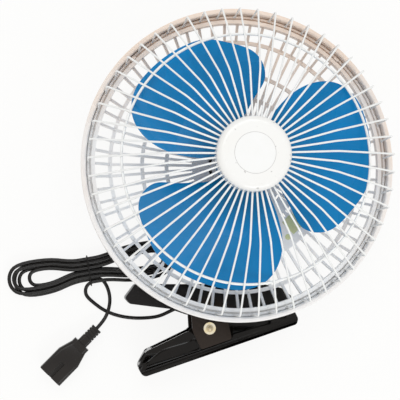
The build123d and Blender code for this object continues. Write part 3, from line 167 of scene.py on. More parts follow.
class Finish(Nodes):
    """One procedural material."""

    def __init__(self, name, roughness=0.4, metallic=0.0, coat=0.0, **fixed):
        self.material = bpy.data.materials.new(name)
        self.material.use_nodes = True
        super().__init__(self.material.node_tree)
        self.shader = self.tree.nodes["Principled BSDF"]
        self.set("Roughness", roughness)
        self.set("Metallic", metallic)
        self.set("Coat Weight", coat)
        for socket, value in fixed.items():
            self.set(socket.replace("_", " "), value)

    def set(self, name, value):
        """Set or link a socket of the main shader."""
        self.join(value, self.shader.inputs[name])

    def place(self):
        """Object coordinates: metres in the shared frame."""
        return self.node("ShaderNodeTexCoord", output="Object")

    def radius(self, centre=(0, 0, 0)):
        """Distance in metres from an upright line, which is the fan's axis unless said."""
        flat = {0: self.place(), 1: (1, 1, 0)}
        inputs = {0: self.node("ShaderNodeVectorMath", {"operation": "MULTIPLY"}, flat), 1: centre}
        return self.node("ShaderNodeVectorMath", {"operation": "DISTANCE"}, inputs, "Value")

    def along(self, direction):
        """Distance from the fan's axis along a direction, in metres."""
        inputs = {0: self.place(), 1: direction}
        return self.node("ShaderNodeVectorMath", {"operation": "DOT_PRODUCT"}, inputs, "Value")

    def noise(self, scale, detail=3.0, stretch=(1, 1, 1)):
        """Smooth noise over the piece, in cycles per metre, stretched if asked."""
        spot = self.place()
        if stretch != (1, 1, 1):
            spot = self.node("ShaderNodeMapping", {}, {"Vector": spot, "Scale": stretch})
        return self.node("ShaderNodeTexNoise", {}, {"Vector": spot, "Scale": scale, "Detail": detail})

    def bump(self, height, strength=0.2, distance=0.0002):
        """Raise the surface by a height in 0 to 1."""
        inputs = {"Height": height, "Strength": strength, "Distance": distance}
        self.set("Normal", self.node("ShaderNodeBump", {}, inputs, "Normal"))


def dress(material, *names):
    """Give CAD nodes a finish."""
    for name in names:
        node = NODES[name]
        node.data.materials.clear()
        node.data.materials.append(material)


print("finishes can be mixed")

# %% [markdown]
# ## White mouldings
# Rim, ribs, neck and motor cover are satin white plastic. A soft ramp across the guard,
# broken up by a slow noise that also varies the tone at random, moves the white from cool
# to warm: painted shade, warmer and darker on the side away from the clip. The rim's outer
# lip is a little creamier all round. A fine noise gives the faint orange peel of moulded
# parts. The wire ring that lies in the rim's groove wears the same white.

# %% White plastic
# the warm end is painted shade on the side away from the clip, and also tints the rim's lip
WARM_WHITE = (0.86, 0.71, 0.60)
COOL_WHITE = (0.89, 0.895, 0.90)
SHADE_RAMP_WAY = (0.15, 0.99, 0)
RIM_LIP_R = 121.2


def white_plastic():
    finish = Finish("guard_white", coat=0.1)
    slow = finish.noise(14.0, 2.0)
    fine = finish.noise(900.0, 2.0)
    # painted shade: a ramp across the guard, broken up by slow noise, darkens and warms the white away
    # from the clip
    shade_ramp_and_tone = (finish.along(SHADE_RAMP_WAY) * 4.0 + slow).above(0.66, 0.42)
    lip = finish.radius().above(RIM_LIP_R * MM, 0.6 * MM)
    finish.set("Base Color", (shade_ramp_and_tone + lip * 0.15).pick(COOL_WHITE, WARM_WHITE))
    finish.set("Roughness", 0.30 + 0.10 * slow)
    finish.bump(fine, 0.04)
    return finish.material


dress(white_plastic(), "rear_guard", "rim_latches", "motor_cover", "neck", "grille_rim_ring")
print("guard, cover, neck and the rim's hidden ring are white")

# %% [markdown]
# ## The cap and its sticker
# The cap is glossier than the guard. The fine seam round its plain round sticker is
# darkened as painted shade, and a few specks of dust sit on its face. Both are masks: the
# seam comes from the distance to the axis, and the specks are the peaks of a fast noise.
# The wires' enamel is made here too, because it is one more glossy white.

# %% Cap, sticker and wire finishes
SEAM_R = 15.05
SEAM_HALF = 0.22
SEAM_FADE = 0.10
# one dark grey for the dust specks and for the painted shade along the seam
DUST_AND_SEAM_SHADE = (0.42, 0.41, 0.40)


def cap_plastic():
    finish = Finish("cap_white", coat=0.3, Coat_Roughness=0.08)
    slow = finish.noise(30.0, 2.0)
    # painted shade: a dark line along the seam round the sticker
    seam_shade = 1.0 - abs(finish.radius() - SEAM_R * MM).above(SEAM_HALF * MM, SEAM_FADE * MM)
    speck = finish.noise(330.0, 0.0).above(0.80, 0.02)
    clean = slow.above(0.5, 0.3).pick((0.87, 0.86, 0.835), (0.88, 0.88, 0.87))
    finish.set("Base Color", (seam_shade * 0.8 + speck * 0.6).pick(clean, DUST_AND_SEAM_SHADE))
    finish.set("Roughness", 0.24 + 0.10 * slow)
    finish.bump(finish.noise(700.0, 2.0), 0.06)
    return finish.material


def sticker_film(name, colour, edge_colour):
    """Glossy film, a little yellower in clouds."""
    finish = Finish(name, roughness=0.2, coat=0.2)
    cloud = finish.noise(120.0, 3.0)
    finish.set("Base Color", cloud.above(0.55, 0.2).pick(colour, edge_colour))
    finish.set("Roughness", 0.18 + 0.12 * cloud)
    finish.bump(cloud, 0.05)
    return finish.material


def wire_enamel():
    """White baked enamel, slightly thicker and glossier in places."""
    finish = Finish("wire_enamel", coat=0.3)
    run = finish.noise(220.0, 2.0)
    finish.set("Base Color", run.above(0.55, 0.2).pick((0.85, 0.855, 0.845), (0.88, 0.89, 0.885)))
    finish.set("Roughness", 0.24 + 0.12 * run)
    finish.bump(run, 0.12)
    return finish.material


enamel = wire_enamel()
dress(cap_plastic(), "grille_cap")
dress(sticker_film("badge_film", (0.88, 0.88, 0.87), (0.89, 0.89, 0.885)), "cap_badge")
dress(enamel, "grille_disc")
print("cap, sticker and wire are white")

# %% [markdown]
# ## Recipes for what repeats
# The grille's wires, its middle ring and the plug's ribs follow rules, so Geometry Nodes
# grow them. The class Recipe makes a tree with named inputs. grown() puts it on a few host
# points, fills the inputs in, bakes the result to a plain mesh and takes the modifier off.

# %% Recipe and grown


class Recipe(Nodes):
    """A Geometry Nodes tree with a mesh and named sizes going in and one geometry coming out."""

    def __init__(self, name, **sizes):
        super().__init__(bpy.data.node_groups.new(name, "GeometryNodeTree"))
        face = self.tree.interface
        face.new_socket("Geometry", in_out="OUTPUT", socket_type="NodeSocketGeometry")
        face.new_socket("Host", in_out="INPUT", socket_type="NodeSocketGeometry")
        self.identifiers = {}
        self.sizes = sizes
        for size, value in sizes.items():
            kind = "NodeSocketInt" if isinstance(value, int) else "NodeSocketFloat"
            self.identifiers[size] = face.new_socket(size, in_out="INPUT", socket_type=kind).identifier
        self.entry = self.tree.nodes.new("NodeGroupInput")

    def size(self, name):
        """One of the named inputs, as a Value."""
        return Value(self, self.entry.outputs[name])

    def end(self, shape, material):
        """Finish the tree: plain mesh, smooth shading, one material."""
        real = self.node("GeometryNodeRealizeInstances", {}, {"Geometry": shape})
        smooth = self.node("GeometryNodeSetShadeSmooth", {}, {"Geometry": real})
        done = self.node("GeometryNodeSetMaterial", {}, {"Geometry": smooth, "Material": material})
        self.join(done, self.tree.nodes.new("NodeGroupOutput").inputs["Geometry"])


def new_piece(name, mesh):
    """An object at the origin."""
    made = bpy.data.objects.new(name, mesh)
    bpy.context.scene.collection.objects.link(made)
    return made


def grown(name, points, edges, recipe):
    """A piece made by a recipe from a few host points, in millimetres."""
    host = bpy.data.meshes.new(f"{name}_host")
    host.from_pydata([tuple(MM * value for value in point) for point in points], edges, [])
    piece = new_piece(name, host)
    modifier = piece.modifiers.new("recipe", "NODES")
    modifier.node_group = recipe.tree
    for size, value in recipe.sizes.items():
        modifier[recipe.identifiers[size]] = value
    graph = bpy.context.evaluated_depsgraph_get()
    mesh = bpy.data.meshes.new_from_object(piece.evaluated_get(graph))
    piece.modifiers.remove(modifier)
    piece.data = mesh
    print(f"{name}: {len(mesh.polygons)} faces")
    return piece


print("recipes can be grown")

# %% [markdown]
# ## Fifty-three bent wires
# Each wire of the grille stands in the rim, bends inward over a shoulder, climbs to a gentle
# kink and ends under the cap. The tree turns four points into a curve, rounds its two
# corners, gives it a round section, adds a bead of weld at the middle ring and one at the
# foot, and sets copies round the axis. One Index node serves twice, because a field is
# worked out where it is used: it counts the curve's corners, and later the copies.

# %% Grille wires
SPOKE_COUNT = 53
SPOKE_FIRST_ANGLE = 3.2
WIRE_R = 0.76

# The wire's four points: out from the axis, sideways and up, in millimetres.
FOOT = (119.05, 0, 53.3)
SHOULDER = (119.0, 0, 82.0)
KINK = (64.5, 0, 117.0)
TOP = (20.0, 0, 121.4)

# The middle ring hangs under the sloping part, its top this far from the wires' middle line.
MID_RING_R = 94.8
RING_UNDER = 0.85
SLOPE = math.atan2(KINK[2] - SHOULDER[2], SHOULDER[0] - KINK[0])
RING_TOP_Z = SHOULDER[2] + (SHOULDER[0] - MID_RING_R) * math.tan(SLOPE) - RING_UNDER / math.cos(SLOPE)


def spoke_recipe():
    recipe = Recipe(
        "spokes", Count=SPOKE_COUNT, First=math.radians(SPOKE_FIRST_ANGLE), Wire=WIRE_R * MM,
        Shoulder=4.0 * MM, Kink=14.0 * MM, Bead=1.15 * MM)
    line = recipe.node("GeometryNodeMeshToCurve", {}, {"Mesh": recipe.size("Host")})
    index = recipe.node("GeometryNodeInputIndex")
    bend = recipe.size("Shoulder") + (recipe.size("Kink") - recipe.size("Shoulder")) * (index - 1.0)
    rounding = {"Curve": line, "Count": 8, "Radius": bend}
    bent = recipe.node("GeometryNodeFilletCurve", {"mode": "POLY"}, rounding)
    section = recipe.node(
        "GeometryNodeCurvePrimitiveCircle", {}, {"Resolution": 10, "Radius": recipe.size("Wire")})
    wire = recipe.node(
        "GeometryNodeCurveToMesh", {}, {"Curve": bent, "Profile Curve": section, "Fill Caps": True})
    bead_size = {"Radius": recipe.size("Bead"), "Subdivisions": 2}
    bead = recipe.node("GeometryNodeMeshIcoSphere", {}, bead_size)
    at_ring = (MID_RING_R, RING_TOP_Z, (1.1, 0.9, 0.5))
    at_foot = (FOOT[0], FOOT[2] + 0.2, (0.9, 1.1, 0.4))
    beads = []
    for x, z, flattened in (at_ring, at_foot):
        place = {"Geometry": bead, "Translation": (x * MM, 0, z * MM), "Scale": flattened}
        beads.append(recipe.node("GeometryNodeTransform", {}, place))
    unit = recipe.node("GeometryNodeJoinGeometry", {}, {"Geometry": [wire, *beads]})
    angle = recipe.size("First") + index * (2 * math.pi / SPOKE_COUNT)
    axis_turn = recipe.node("ShaderNodeCombineXYZ", {}, {"Z": angle})
    spots = recipe.node("GeometryNodePoints", {}, {"Count": recipe.size("Count")})
    cage = recipe.node(
        "GeometryNodeInstanceOnPoints", {}, {"Points": spots, "Instance": unit, "Rotation": axis_turn})
    recipe.end(cage, enamel)
    return recipe


wires = grown("grille_wires", [FOOT, SHOULDER, KINK, TOP], [(0, 1), (1, 2), (2, 3)], spoke_recipe())
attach(wires, "head")
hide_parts("grille_spokes")

# %% [markdown]
# ## The ring behind the wires
# One slightly thicker wire, bent to a circle, is welded under all fifty-three and keeps
# them apart. Its recipe is a simpler one: a circle, swept with a small circle.

# %% Middle ring
RING_WIRE_R = 1.0


def ring_recipe():
    lift = (RING_TOP_Z - RING_WIRE_R) * MM
    recipe = Recipe("ring", Ring=MID_RING_R * MM, Wire=RING_WIRE_R * MM, Lift=lift)
    around = {"Resolution": 4 * SPOKE_COUNT, "Radius": recipe.size("Ring")}
    circle = recipe.node("GeometryNodeCurvePrimitiveCircle", {}, around)
    across = {"Resolution": 12, "Radius": recipe.size("Wire")}
    section = recipe.node("GeometryNodeCurvePrimitiveCircle", {}, across)
    ring = recipe.node("GeometryNodeCurveToMesh", {}, {"Curve": circle, "Profile Curve": section})
    up = recipe.node("ShaderNodeCombineXYZ", {}, {"Z": recipe.size("Lift")})
    raised = recipe.node("GeometryNodeTransform", {}, {"Geometry": ring, "Translation": up})
    recipe.end(raised, enamel)
    return recipe


mid_ring = grown("middle_ring", [(0, 0, 0)], [], ring_recipe())
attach(mid_ring, "head")
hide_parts("grille_mid_ring")

# %% [markdown]
# ## Blue blades
# The blades are one deep azure moulding. Near the hub the blue is painted darker, as
# painted shade under the cap, so the distance to the axis picks it, and a slow noise clouds
# the rest. Little gloss keeps the blue pure in bright light.

# %% Blade plastic
HUB_SHADE_BLUE = (0.002, 0.11, 0.24)
HUB_SHADE_R = 36.0
HUB_SHADE_FADE = 22.0


def blade_plastic():
    finish = Finish("blade_blue", coat=0.08, Coat_Roughness=0.1, Specular_IOR_Level=0.15)
    slow = finish.noise(26.0, 2.0)
    fine = finish.noise(420.0, 2.0)
    outer = slow.above(0.5, 0.3).pick((0.002, 0.185, 0.44), (0.003, 0.22, 0.53))
    # painted shade: the blue darkens towards the hub, under the cap
    out = finish.radius().above(HUB_SHADE_R * MM, HUB_SHADE_FADE * MM)
    finish.set("Base Color", out.pick(HUB_SHADE_BLUE, outer))
    finish.set("Roughness", 0.22 + 0.10 * slow)
    finish.bump(fine, 0.05)
    return finish.material


dress(blade_plastic(), "impeller")
print("blade finish ready")

# %% [markdown]
# ## Black plastics, cord and rubber
# The lower lever is polished black. The plug is satin, the switch and gland are matte, the
# cord is a soft, slightly waxy black and the pads are rubber. All five come from one
# function, because only their colour, gloss and grain differ. The upper jaw has its own,
# because its cheeks round the pivot are matte, with a brown cast.

# %% Blacks
PIVOT = (-0.0208, -0.1303, 0)  # in metres, as object coordinates are
CHEEK_R = 24.0


def black(name, colour, dusty, roughness, grain, lift, shine):
    """A black plastic: its grain is in cycles per metre, its lift and shine in 0 to 1."""
    finish = Finish(name, Specular_IOR_Level=shine)
    slow = finish.noise(40.0, 3.0)
    fine = finish.noise(grain, 2.0)
    finish.set("Base Color", slow.above(0.55, 0.3).pick(colour, dusty))
    finish.set("Roughness", roughness + 0.12 * slow)
    finish.bump(fine, lift)
    return finish.material


gloss_black = black(
    "gloss_black", (0.004, 0.0032, 0.0026), (0.007, 0.0055, 0.0045),
    roughness=0.10, grain=500.0, lift=0.02, shine=0.2)
matte_black = black(
    "matte_black", (0.012, 0.010, 0.010), (0.020, 0.017, 0.017),
    roughness=0.50, grain=1200.0, lift=0.20, shine=0.3)
cord_black = black(
    "cord_black", (0.005, 0.004, 0.0035), (0.009, 0.0075, 0.0065),
    roughness=0.14, grain=250.0, lift=0.02, shine=0.3)
plug_black = black(
    "plug_black", (0.008, 0.006, 0.005), (0.014, 0.011, 0.009),
    roughness=0.24, grain=700.0, lift=0.04, shine=0.3)
rubber = black(
    "pad_rubber", (0.016, 0.016, 0.016), (0.028, 0.027, 0.026),
    roughness=0.62, grain=1600.0, lift=0.25, shine=0.5)


def jaw_black():
    """Black with satin shine, turning brown and matte on the cheeks round the pivot."""
    finish = Finish("jaw_black", Specular_IOR_Level=0.2)
    cheek = 1.0 - finish.radius(PIVOT).above(CHEEK_R * MM, 4.0 * MM)
    slow = finish.noise(40.0, 3.0)
    finish.set("Base Color", cheek.pick((0.006, 0.005, 0.005), (0.020, 0.013, 0.009)))
    finish.set("Roughness", 0.26 + 0.10 * slow + 0.18 * cheek)
    finish.bump(finish.noise(1400.0, 2.0), 0.10)
    return finish.material


dress(matte_black, "cord_gland", "switch_body", "switch_rocker", "motor_end_cap")
dress(cord_black, "cord_lead", "cord_hank", "cord_tail", "hank_tie")
dress(rubber, "jaw_pad_upper", "jaw_pad_lower")
print("black finishes ready")

# %% [markdown]
# ## Rounded edges on the clip and the plug
# A mould never leaves a knife edge, and on black plastic the rounded edges are what catches
# the light. The solid pieces have sharp ones, so softened() copies such a piece, merges its
# loose triangles, joins those that lie in one plane and rounds what is left with Bevel.

# %% Softened pieces


def softened(node, body, width, finish):
    """A copy of a solid piece with rounded edges, which stands for it."""
    work = bmesh.new()
    work.from_mesh(NODES[node].data)
    bmesh.ops.remove_doubles(work, verts=work.verts, dist=1e-6)
    bmesh.ops.dissolve_limit(work, angle_limit=math.radians(1), verts=work.verts, edges=work.edges)
    mesh = bpy.data.meshes.new(f"{node}_soft")
    work.to_mesh(mesh)
    work.free()
    piece = new_piece(f"{node}_soft", mesh)
    mesh.materials.append(finish)
    mesh.shade_smooth()
    bevel = piece.modifiers.new("rounded", "BEVEL")
    bevel.width = width * MM
    bevel.segments = 3
    bevel.limit_method = "ANGLE"
    bevel.angle_limit = math.radians(35)
    bevel.harden_normals = True
    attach(piece, body)
    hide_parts(node)
    print(f"{piece.name}: {len(mesh.polygons)} faces before rounding")
    return piece


softened("clip_lower_jaw", "lower_lever", width=0.4, finish=gloss_black)
softened("clip_upper_jaw", "clip", width=2.0, finish=jaw_black())
soft_plug = softened("plug_body", "clip", width=1.2, finish=plug_black)

# %% [markdown]
# ## Metals
# Fasteners are zinc with a yellow pass, so noise moves them between silver and straw, and
# the pivot bolt is darker than its washers. The can, shaft and spring are drawn steel, the
# bushes and contacts bronze, the windings enamelled copper, and the magnets and brushes
# share one dark grey.

# %% Metals


def metal(name, colour, tint, roughness, scale):
    finish = Finish(name, metallic=1.0)
    cloud = finish.noise(scale, 3.0)
    scratch = finish.noise(600.0, 2.0, stretch=(1, 1, 8))
    finish.set("Base Color", cloud.above(0.5, 0.2).pick(colour, tint))
    finish.set("Roughness", roughness + 0.15 * scratch)
    finish.bump(scratch, 0.08)
    return finish.material


zinc = metal("zinc", (0.78, 0.74, 0.62), (0.80, 0.68, 0.42), roughness=0.20, scale=300.0)
steel = metal("steel", (0.52, 0.52, 0.53), (0.60, 0.60, 0.60), roughness=0.28, scale=120.0)
bronze = metal("bronze", (0.62, 0.42, 0.20), (0.70, 0.50, 0.26), roughness=0.30, scale=300.0)
copper = metal("copper", (0.70, 0.30, 0.14), (0.60, 0.22, 0.10), roughness=0.28, scale=500.0)
ferrite = metal("ferrite", (0.07, 0.07, 0.075), (0.10, 0.10, 0.10), roughness=0.60, scale=200.0)
straw = metal("straw_zinc", (0.50, 0.43, 0.30), (0.60, 0.50, 0.32), roughness=0.30, scale=300.0)
dress(straw, "pivot_bolt")
dress(zinc, "pivot_washers", "pivot_nut", "cover_screws", "motor_screws", "tilt_bolt")
dress(zinc, "tilt_nut", "swivel_washer", "swivel_screw", "blade_nut")
dress(steel, "motor_can", "motor_shaft", "clip_spring")
dress(bronze, "front_bush", "rear_bush", "plug_contacts")
dress(copper, "armature", "commutator")
dress(ferrite, "magnets", "brushes")
print("metal finishes ready")

# %% [markdown]
# ## The cord
# One soft three-millimetre cord runs from the clip, along the table, into a tied hank and
# out to the plug. It is a single NURBS curve, whose control points are worked out first,
# in millimetres.
#
# The hank lies in two layers. Its strands run to and fro between a left and a right lobe,
# and all of them draw in to the waist under the tie. Strand 0 is the outermost of the top
# layer. The strands wind inwards, climb down in the left lobe and wind outwards again.

# %% Strands of the hank
CORD_R = 1.5
BASE = 1.3
LAYER = 3.45
HALF_TURNS = 10
LAST_TOP = HALF_TURNS // 2
WAIST = Vector((-118.8, -83.0, 0.0))
HANK_ANGLE = math.radians(9.7)
LEFT = 46.5
RIGHT = 60.0
LEFT_FLARE = 38.0
RIGHT_FLARE = 46.0
LOBE_INNER = 6.4
LOBE_STEP = 3.65
WAIST_INNER = 1.1
WAIST_STEP = 3.7
WAIST_STRAIGHT = 3.0
START_STRAIGHT = 6.0
START_OUT = 0.5
TOP_SHIFT = -4.0
CLIMB_SHIFT = 6.0

Strand = namedtuple("Strand", "side lobe waist z left right")


def heading(angle):
    """The level direction at an angle."""
    return Vector((math.cos(angle), math.sin(angle), 0.0))


ALONG = heading(HANK_ANGLE)
ACROSS = heading(HANK_ANGLE + math.pi / 2)


def hank_point(u, v, z):
    """A point of the hank's own frame: u along it, v across it."""
    return WAIST + u * ALONG + v * ACROSS + Vector((0, 0, z))


def strand(i):
    """Strand i: its side, reach in the lobes and at the waist, height, and where its lobes start."""
    on_top = i <= LAST_TOP
    steps = (LAST_TOP - i) / 2 if on_top else (i - LAST_TOP - 1) / 2
    shift = TOP_SHIFT if on_top else 0.0
    climbs = i in (LAST_TOP, LAST_TOP + 1)
    return Strand(
        side=-1 if i % 2 == 0 else 1,
        lobe=LOBE_INNER + steps * LOBE_STEP,
        waist=WAIST_INNER + steps * WAIST_STEP + (START_OUT if i == 0 else 0.0),
        z=BASE + CORD_R + (LAYER if on_top else 0.0),
        left=(CLIMB_SHIFT if climbs else shift) - LEFT,
        right=RIGHT + shift)


print(f"outermost strand: {strand(0)}")

# %% [markdown]
# A strand has two points on its way in to the waist, one under the tie and two on its way
# out. A half turn has four points on the corners of an octagon, which a NURBS curve of
# order 3 rounds to a smooth bow.

# %% Turns of the hank
OCTAGON_CORNERS = (-67.5, -22.5, 22.5, 67.5)


def side_points(i):
    """The points of strand i between its lobes."""
    own = strand(i)
    going = -own.side
    flare = {1: RIGHT_FLARE, -1: -LEFT_FLARE}
    straight = START_STRAIGHT if i == 0 else WAIST_STRAIGHT

    def half(end):
        """The outer and the inner point towards one lobe."""
        reach = flare[end] - end * straight
        outer = hank_point(flare[end] - reach / 4, own.side * own.lobe, own.z)
        inner = hank_point(end * straight + reach / 4, own.side * own.waist, own.z)
        return [outer, inner]

    way_in = half(-going) if i > 0 else []
    middle = [hank_point(0, own.side * own.waist, own.z)] if 0 < i < HALF_TURNS else []
    way_out = half(going)[::-1] if i < HALF_TURNS else []
    return way_in + middle + way_out


def lobe_points(i):
    """The points of the half turn from strand i to the next."""
    own, after = strand(i), strand(i + 1)
    going = -own.side
    u = own.right if going > 0 else own.left
    start = hank_point(u, own.side * own.lobe, own.z)
    end = hank_point(u, after.side * after.lobe, after.z)
    middle = (start + end) / 2
    radius = (end - start).length / 2 / math.cos(math.radians(22.5))
    across = (end - start).normalized()
    turn_points = []
    for corner in OCTAGON_CORNERS:
        swing = math.radians(corner)
        bow = going * math.cos(swing) * ALONG + math.sin(swing) * across
        turn_points.append(middle + radius * bow)
    return turn_points


hank = []
for i in range(HALF_TURNS + 1):
    hank += side_points(i)
    if i < HALF_TURNS:
        hank += lobe_points(i)
print(f"{len(hank)} points in the hank")

# %% [markdown]
# The free stretches have their points listed one by one. The lead drops from the clip's
# gland to the table, swings round and climbs onto the hank. The tail leaves under the tie,
# crosses the lead in a low hump and goes straight into the plug.

# %% Lead and tail
GLAND = Vector((-40.0, -112.6, 9.6))
GLAND_ANGLE = math.radians(203.0)
PLUG_START = Vector((-110.2, -131.0, 7.2))
PLUG_ANGLE = math.radians(225.5)
TAIL_Z = BASE + CORD_R

top_strand = strand(0)
low_strand = strand(HALF_TURNS)
lead_v = top_strand.side * top_strand.waist
tail_v = low_strand.side * low_strand.waist
gland_way = heading(GLAND_ANGLE)
plug_way = heading(PLUG_ANGLE)
lead = [
    GLAND - 4.0 * gland_way,
    GLAND + 10.0 * gland_way,
    Vector((-58.0, -121.4, 3.6)),
    Vector((-67.5, -123.0, CORD_R)),
    Vector((-81.0, -123.2, CORD_R)),
    Vector((-94.0, -121.0, CORD_R)),
    Vector((-105.0, -116.4, CORD_R)),
    Vector((-113.0, -110.4, 2.2)),
    hank_point(-3.6, lead_v - 11.2, 3.8),
    hank_point(-4.3, lead_v - 6.7, 5.0),
    hank_point(-2.5, lead_v - 2.5, 6.0),
    hank_point(1.4, lead_v, top_strand.z),
    hank_point(START_STRAIGHT, lead_v, top_strand.z),
]
tail = [
    hank_point(WAIST_STRAIGHT, tail_v, TAIL_Z),
    hank_point(8.0, tail_v, TAIL_Z),
    hank_point(12.3, tail_v - 3.0, TAIL_Z),
    Vector((-100.9, -99.5, 3.6)),
    Vector((-99.4, -108.6, 5.2)),
    Vector((-101.4, -118.6, 5.6)),
    PLUG_START - 6.0 * plug_way,
    PLUG_START + 6.0 * plug_way,
]
route = lead + hank + tail
print(f"{len(route)} points on the cord")

# %% [markdown]
# ## The plug's strain relief
# Behind the plug, a soft block keeps the cord from kinking: a square neck, grooved near the
# cord so that four ribs are left, and a collar against the plug. Every part of it is a
# rounded square swept along a short line and swollen in its middle, so one helper makes
# them all, and Geometry Nodes repeat the rib.

# %% Strain relief
RIBS = 4
RIB_PITCH = 2.6


def block(recipe, start, length, width, height, corner, crown):
    """A block with rounded edges along X, whose ends shrink by the share in crown."""
    ends = {"Start": (start * MM, 0, 0), "End": ((start + length) * MM, 0, 0)}
    line = recipe.node("GeometryNodeCurvePrimitiveLine", {}, ends)
    fine = recipe.node("GeometryNodeResampleCurve", {}, {"Curve": line, "Count": 9})
    away = recipe.node("GeometryNodeSplineParameter") * 2.0 - 1.0
    swell = 1.0 - away * away * away * away * crown
    swollen = recipe.node("GeometryNodeSetCurveRadius", {}, {"Curve": fine, "Radius": swell})
    sides = {"Width": width, "Height": height}
    square = recipe.node("GeometryNodeCurvePrimitiveQuadrilateral", {}, sides)
    rounding = {"Curve": square, "Count": 5, "Radius": corner * MM}
    section = recipe.node("GeometryNodeFilletCurve", {"mode": "POLY"}, rounding)
    sweep = {"Curve": swollen, "Profile Curve": section, "Fill Caps": True}
    return recipe.node("GeometryNodeCurveToMesh", {}, sweep)


def relief_recipe():
    recipe = Recipe(
        "relief", Ribs=RIBS, Pitch=RIB_PITCH * MM, Rib=8.9 * MM, Core=7.5 * MM, Neck=9.0 * MM,
        Collar_Width=15.0 * MM, Collar_Height=12.6 * MM)
    rib_size, core_size, neck_size = (recipe.size(name) for name in ("Rib", "Core", "Neck"))
    rib = block(recipe, 0.0, 1.9, rib_size, rib_size, corner=2.2, crown=0.10)
    step = recipe.node("ShaderNodeCombineXYZ", {}, {"X": recipe.size("Pitch")})
    spots = recipe.node("GeometryNodeMeshLine", {}, {"Count": recipe.size("Ribs"), "Offset": step})
    ribs = recipe.node("GeometryNodeInstanceOnPoints", {}, {"Points": spots, "Instance": rib})
    core = block(recipe, 0.8, 17.0, core_size, core_size, corner=2.0, crown=0.0)
    neck = block(recipe, RIBS * RIB_PITCH, 7.2, neck_size, neck_size, corner=2.4, crown=0.06)
    collar_size = recipe.size("Collar_Width"), recipe.size("Collar_Height")
    collar = block(recipe, 17.3, 5.4, *collar_size, corner=3.2, crown=0.07)
    whole = recipe.node("GeometryNodeJoinGeometry", {}, {"Geometry": [ribs, core, neck, collar]})
    place = {"Geometry": whole, "Translation": tuple(PLUG_START * MM), "Rotation": (0, 0, PLUG_ANGLE)}
    recipe.end(recipe.node("GeometryNodeTransform", {}, place), plug_black)
    return recipe


relief = grown("strain_relief", [(0, 0, 0)], [], relief_recipe())
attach(relief, "clip")
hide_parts("plug_relief")

# %% [markdown]
# ## The cord itself
# The route's points become the control points of one NURBS spline, which rounds every
# corner by itself. Its order is set after the points are there, because set before, it
# would fall back to straight runs.


def smooth_curve(name, points, radius):
    """A round NURBS curve inside its control polygon, in millimetres."""
    data = bpy.data.curves.new(name, "CURVE")
    data.dimensions = "3D"
    spline = data.splines.new("NURBS")
    spline.points.add(len(points) - 1)
    for spot, place in zip(spline.points, points):
        spot.co = (*(place * MM), 1.0)
    spline.order_u = 3
    spline.use_endpoint_u = True
    data.resolution_u = 4
    data.bevel_depth = radius * MM
    data.bevel_resolution = 4
    data.use_fill_caps = True
    return new_piece(name, data)


cord = smooth_curve("cord", route, CORD_R)
cord.data.materials.append(cord_black)
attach(cord, "clip")
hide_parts("cord_lead", "cord_hank", "cord_tail")
tuple(route[0] * MM)
print(f"the cord's line is {cord.data.splines[0].calc_length():.3f} m long")

# %% [markdown]
# ## Two blank stickers
# The guard's flat panel carries a blank pale sticker and a small round one. Each is a thin
# film: a rounded outline, raised by a tenth of a millimetre from the panel it sits on.

# %% Stickers
PANEL_Z = 41.5
FILM_T = 0.12
FILM_SIDES = 24


def rounded_outline(half_length, half_width, corner):
    """A rectangle with rounded corners, as points round its middle."""
    outline = []
    for side in range(FILM_SIDES):
        angle = 2 * math.pi * (side + 0.5) / FILM_SIDES
        x = math.copysign(half_length - corner, math.cos(angle)) + corner * math.cos(angle)
        y = math.copysign(half_width - corner, math.sin(angle)) + corner * math.sin(angle)
        outline.append(Vector((x, y, 0)))
    return outline


def film(name, centre, turn, half_length, half_width, corner, finish):
    """A thin rounded film on the panel."""
    outline = rounded_outline(half_length, half_width, corner)
    spin = Matrix.Rotation(math.radians(turn), 3, "Z")
    work = bmesh.new()
    layers = []
    for z in (PANEL_Z, PANEL_Z + FILM_T):
        middle = Vector((*centre, z))
        layers.append([work.verts.new((middle + spin @ spot) * MM) for spot in outline])
    low, high = layers
    work.faces.new(reversed(low))
    work.faces.new(high)
    for i in range(FILM_SIDES):
        after = (i + 1) % FILM_SIDES
        work.faces.new((low[i], low[after], high[after], high[i]))
    mesh = bpy.data.meshes.new(name)
    work.to_mesh(mesh)
    work.free()
    mesh.materials.append(finish)
    piece = new_piece(name, mesh)
    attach(piece, "head")


label_film = sticker_film("label_film", (0.62, 0.68, 0.36), (0.72, 0.66, 0.42))
film(
    "panel_sticker", (45.8, -46.1), turn=-45.0, half_length=6.8, half_width=5.6, corner=0.8,
    finish=label_film)
film(
    "round_sticker", (42.0, -57.0), turn=0.0, half_length=2.4, half_width=2.4, corner=2.39,
    finish=label_film)
print("two stickers on the panel")

# %% [markdown]
# ## The table
# The table is plain and almost white. Rays from the camera, and those that mirrors and
# clear pieces send on, see it nearly at full white with a soft shadow. All other rays see
# plain pale paint, so it adds no false light to the fan.

# %% Table
TABLE_HALF = 3.0
TABLE_GLOW = 0.9


def seen_directly(nodes):
    """1 for rays from the camera and for those that mirrors and clear pieces send on, else 0."""
    rays = nodes.tree.nodes.new("ShaderNodeLightPath").outputs
    kinds = ("Is Camera Ray", "Is Glossy Ray", "Is Transmission Ray")
    from_camera, from_mirror, through_clear = (Value(nodes, rays[kind]) for kind in kinds)
    return from_camera + from_mirror + through_clear


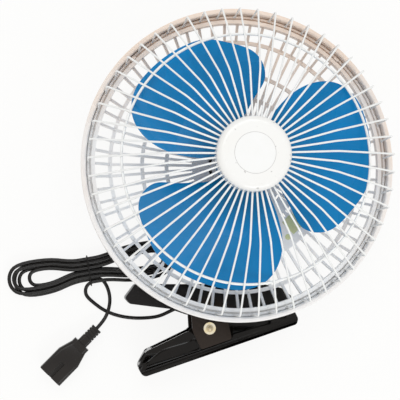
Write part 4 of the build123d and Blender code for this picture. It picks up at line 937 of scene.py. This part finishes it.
def table_finish():
    """Pale matte paint that looks white to the camera and keeps a soft shadow."""
    finish = Finish("table_paint", roughness=0.8)
    finish.set("Base Color", (0.88, 0.88, 0.87))
    share = seen_directly(finish) * TABLE_GLOW
    glow = finish.node("ShaderNodeEmission", {}, {"Color": (0.995, 0.993, 0.985)})
    paint = Value(finish, finish.shader.outputs[0])
    both = finish.node("ShaderNodeMixShader", {}, {0: share, 1: paint, 2: glow})
    finish.join(both, finish.tree.nodes["Material Output"].inputs["Surface"])
    return finish.material


table_mesh = bpy.data.meshes.new("table")
corner_signs = ((-1, -1), (1, -1), (1, 1), (-1, 1))
corners = [(x * TABLE_HALF, y * TABLE_HALF, -0.3 * MM) for x, y in corner_signs]
table_mesh.from_pydata(corners, [], [(0, 1, 2, 3)])
table_mesh.materials.append(table_finish())
new_piece("table", table_mesh)
print("table ready")

# %% [markdown]
# ## Light
# An even, slightly warm room does most of the work, so that shadows stay soft and shaded
# sides turn cream. A cool window beyond the rim puts the cap's shadow on the blades below
# it. A narrow strip near the clip draws the thin highlights along its rounded edges. All
# three together stay weak enough for the white cap to keep its shading. The camera and the
# reflections see the room at full white.

# %% Lamps
ROOM_LIGHT = 0.78
ROOM_COLOUR = (0.99, 0.97, 0.95)
DAYLIGHT = (0.92, 0.97, 1.0)

world = bpy.data.worlds.new("room")
world.use_nodes = True
room = Nodes(world.node_tree)
background = room.tree.nodes["Background"]
room.join(ROOM_COLOUR, background.inputs["Color"])
room.join(ROOM_LIGHT + seen_directly(room) * (1.0 - ROOM_LIGHT), background.inputs["Strength"])
bpy.context.scene.world = world


def soft_lamp(name, place, size, power, colour):
    """A large soft lamp that faces the fan."""
    light = bpy.data.lights.new(name, "AREA")
    light.shape = "RECTANGLE"
    light.size, light.size_y = size
    light.energy = power
    light.color = colour
    lamp = new_piece(name, light)
    lamp.location = place
    lamp.rotation_euler = (-Vector(place)).to_track_quat("-Z", "Y").to_euler()


soft_lamp("window", place=(-0.15, 0.75, 1.5), size=(1.2, 0.7), power=6.6, colour=DAYLIGHT)
soft_lamp("strip", place=(0.25, -1.0, 0.9), size=(0.9, 0.25), power=3.8, colour=DAYLIGHT)
print("lamps ready")
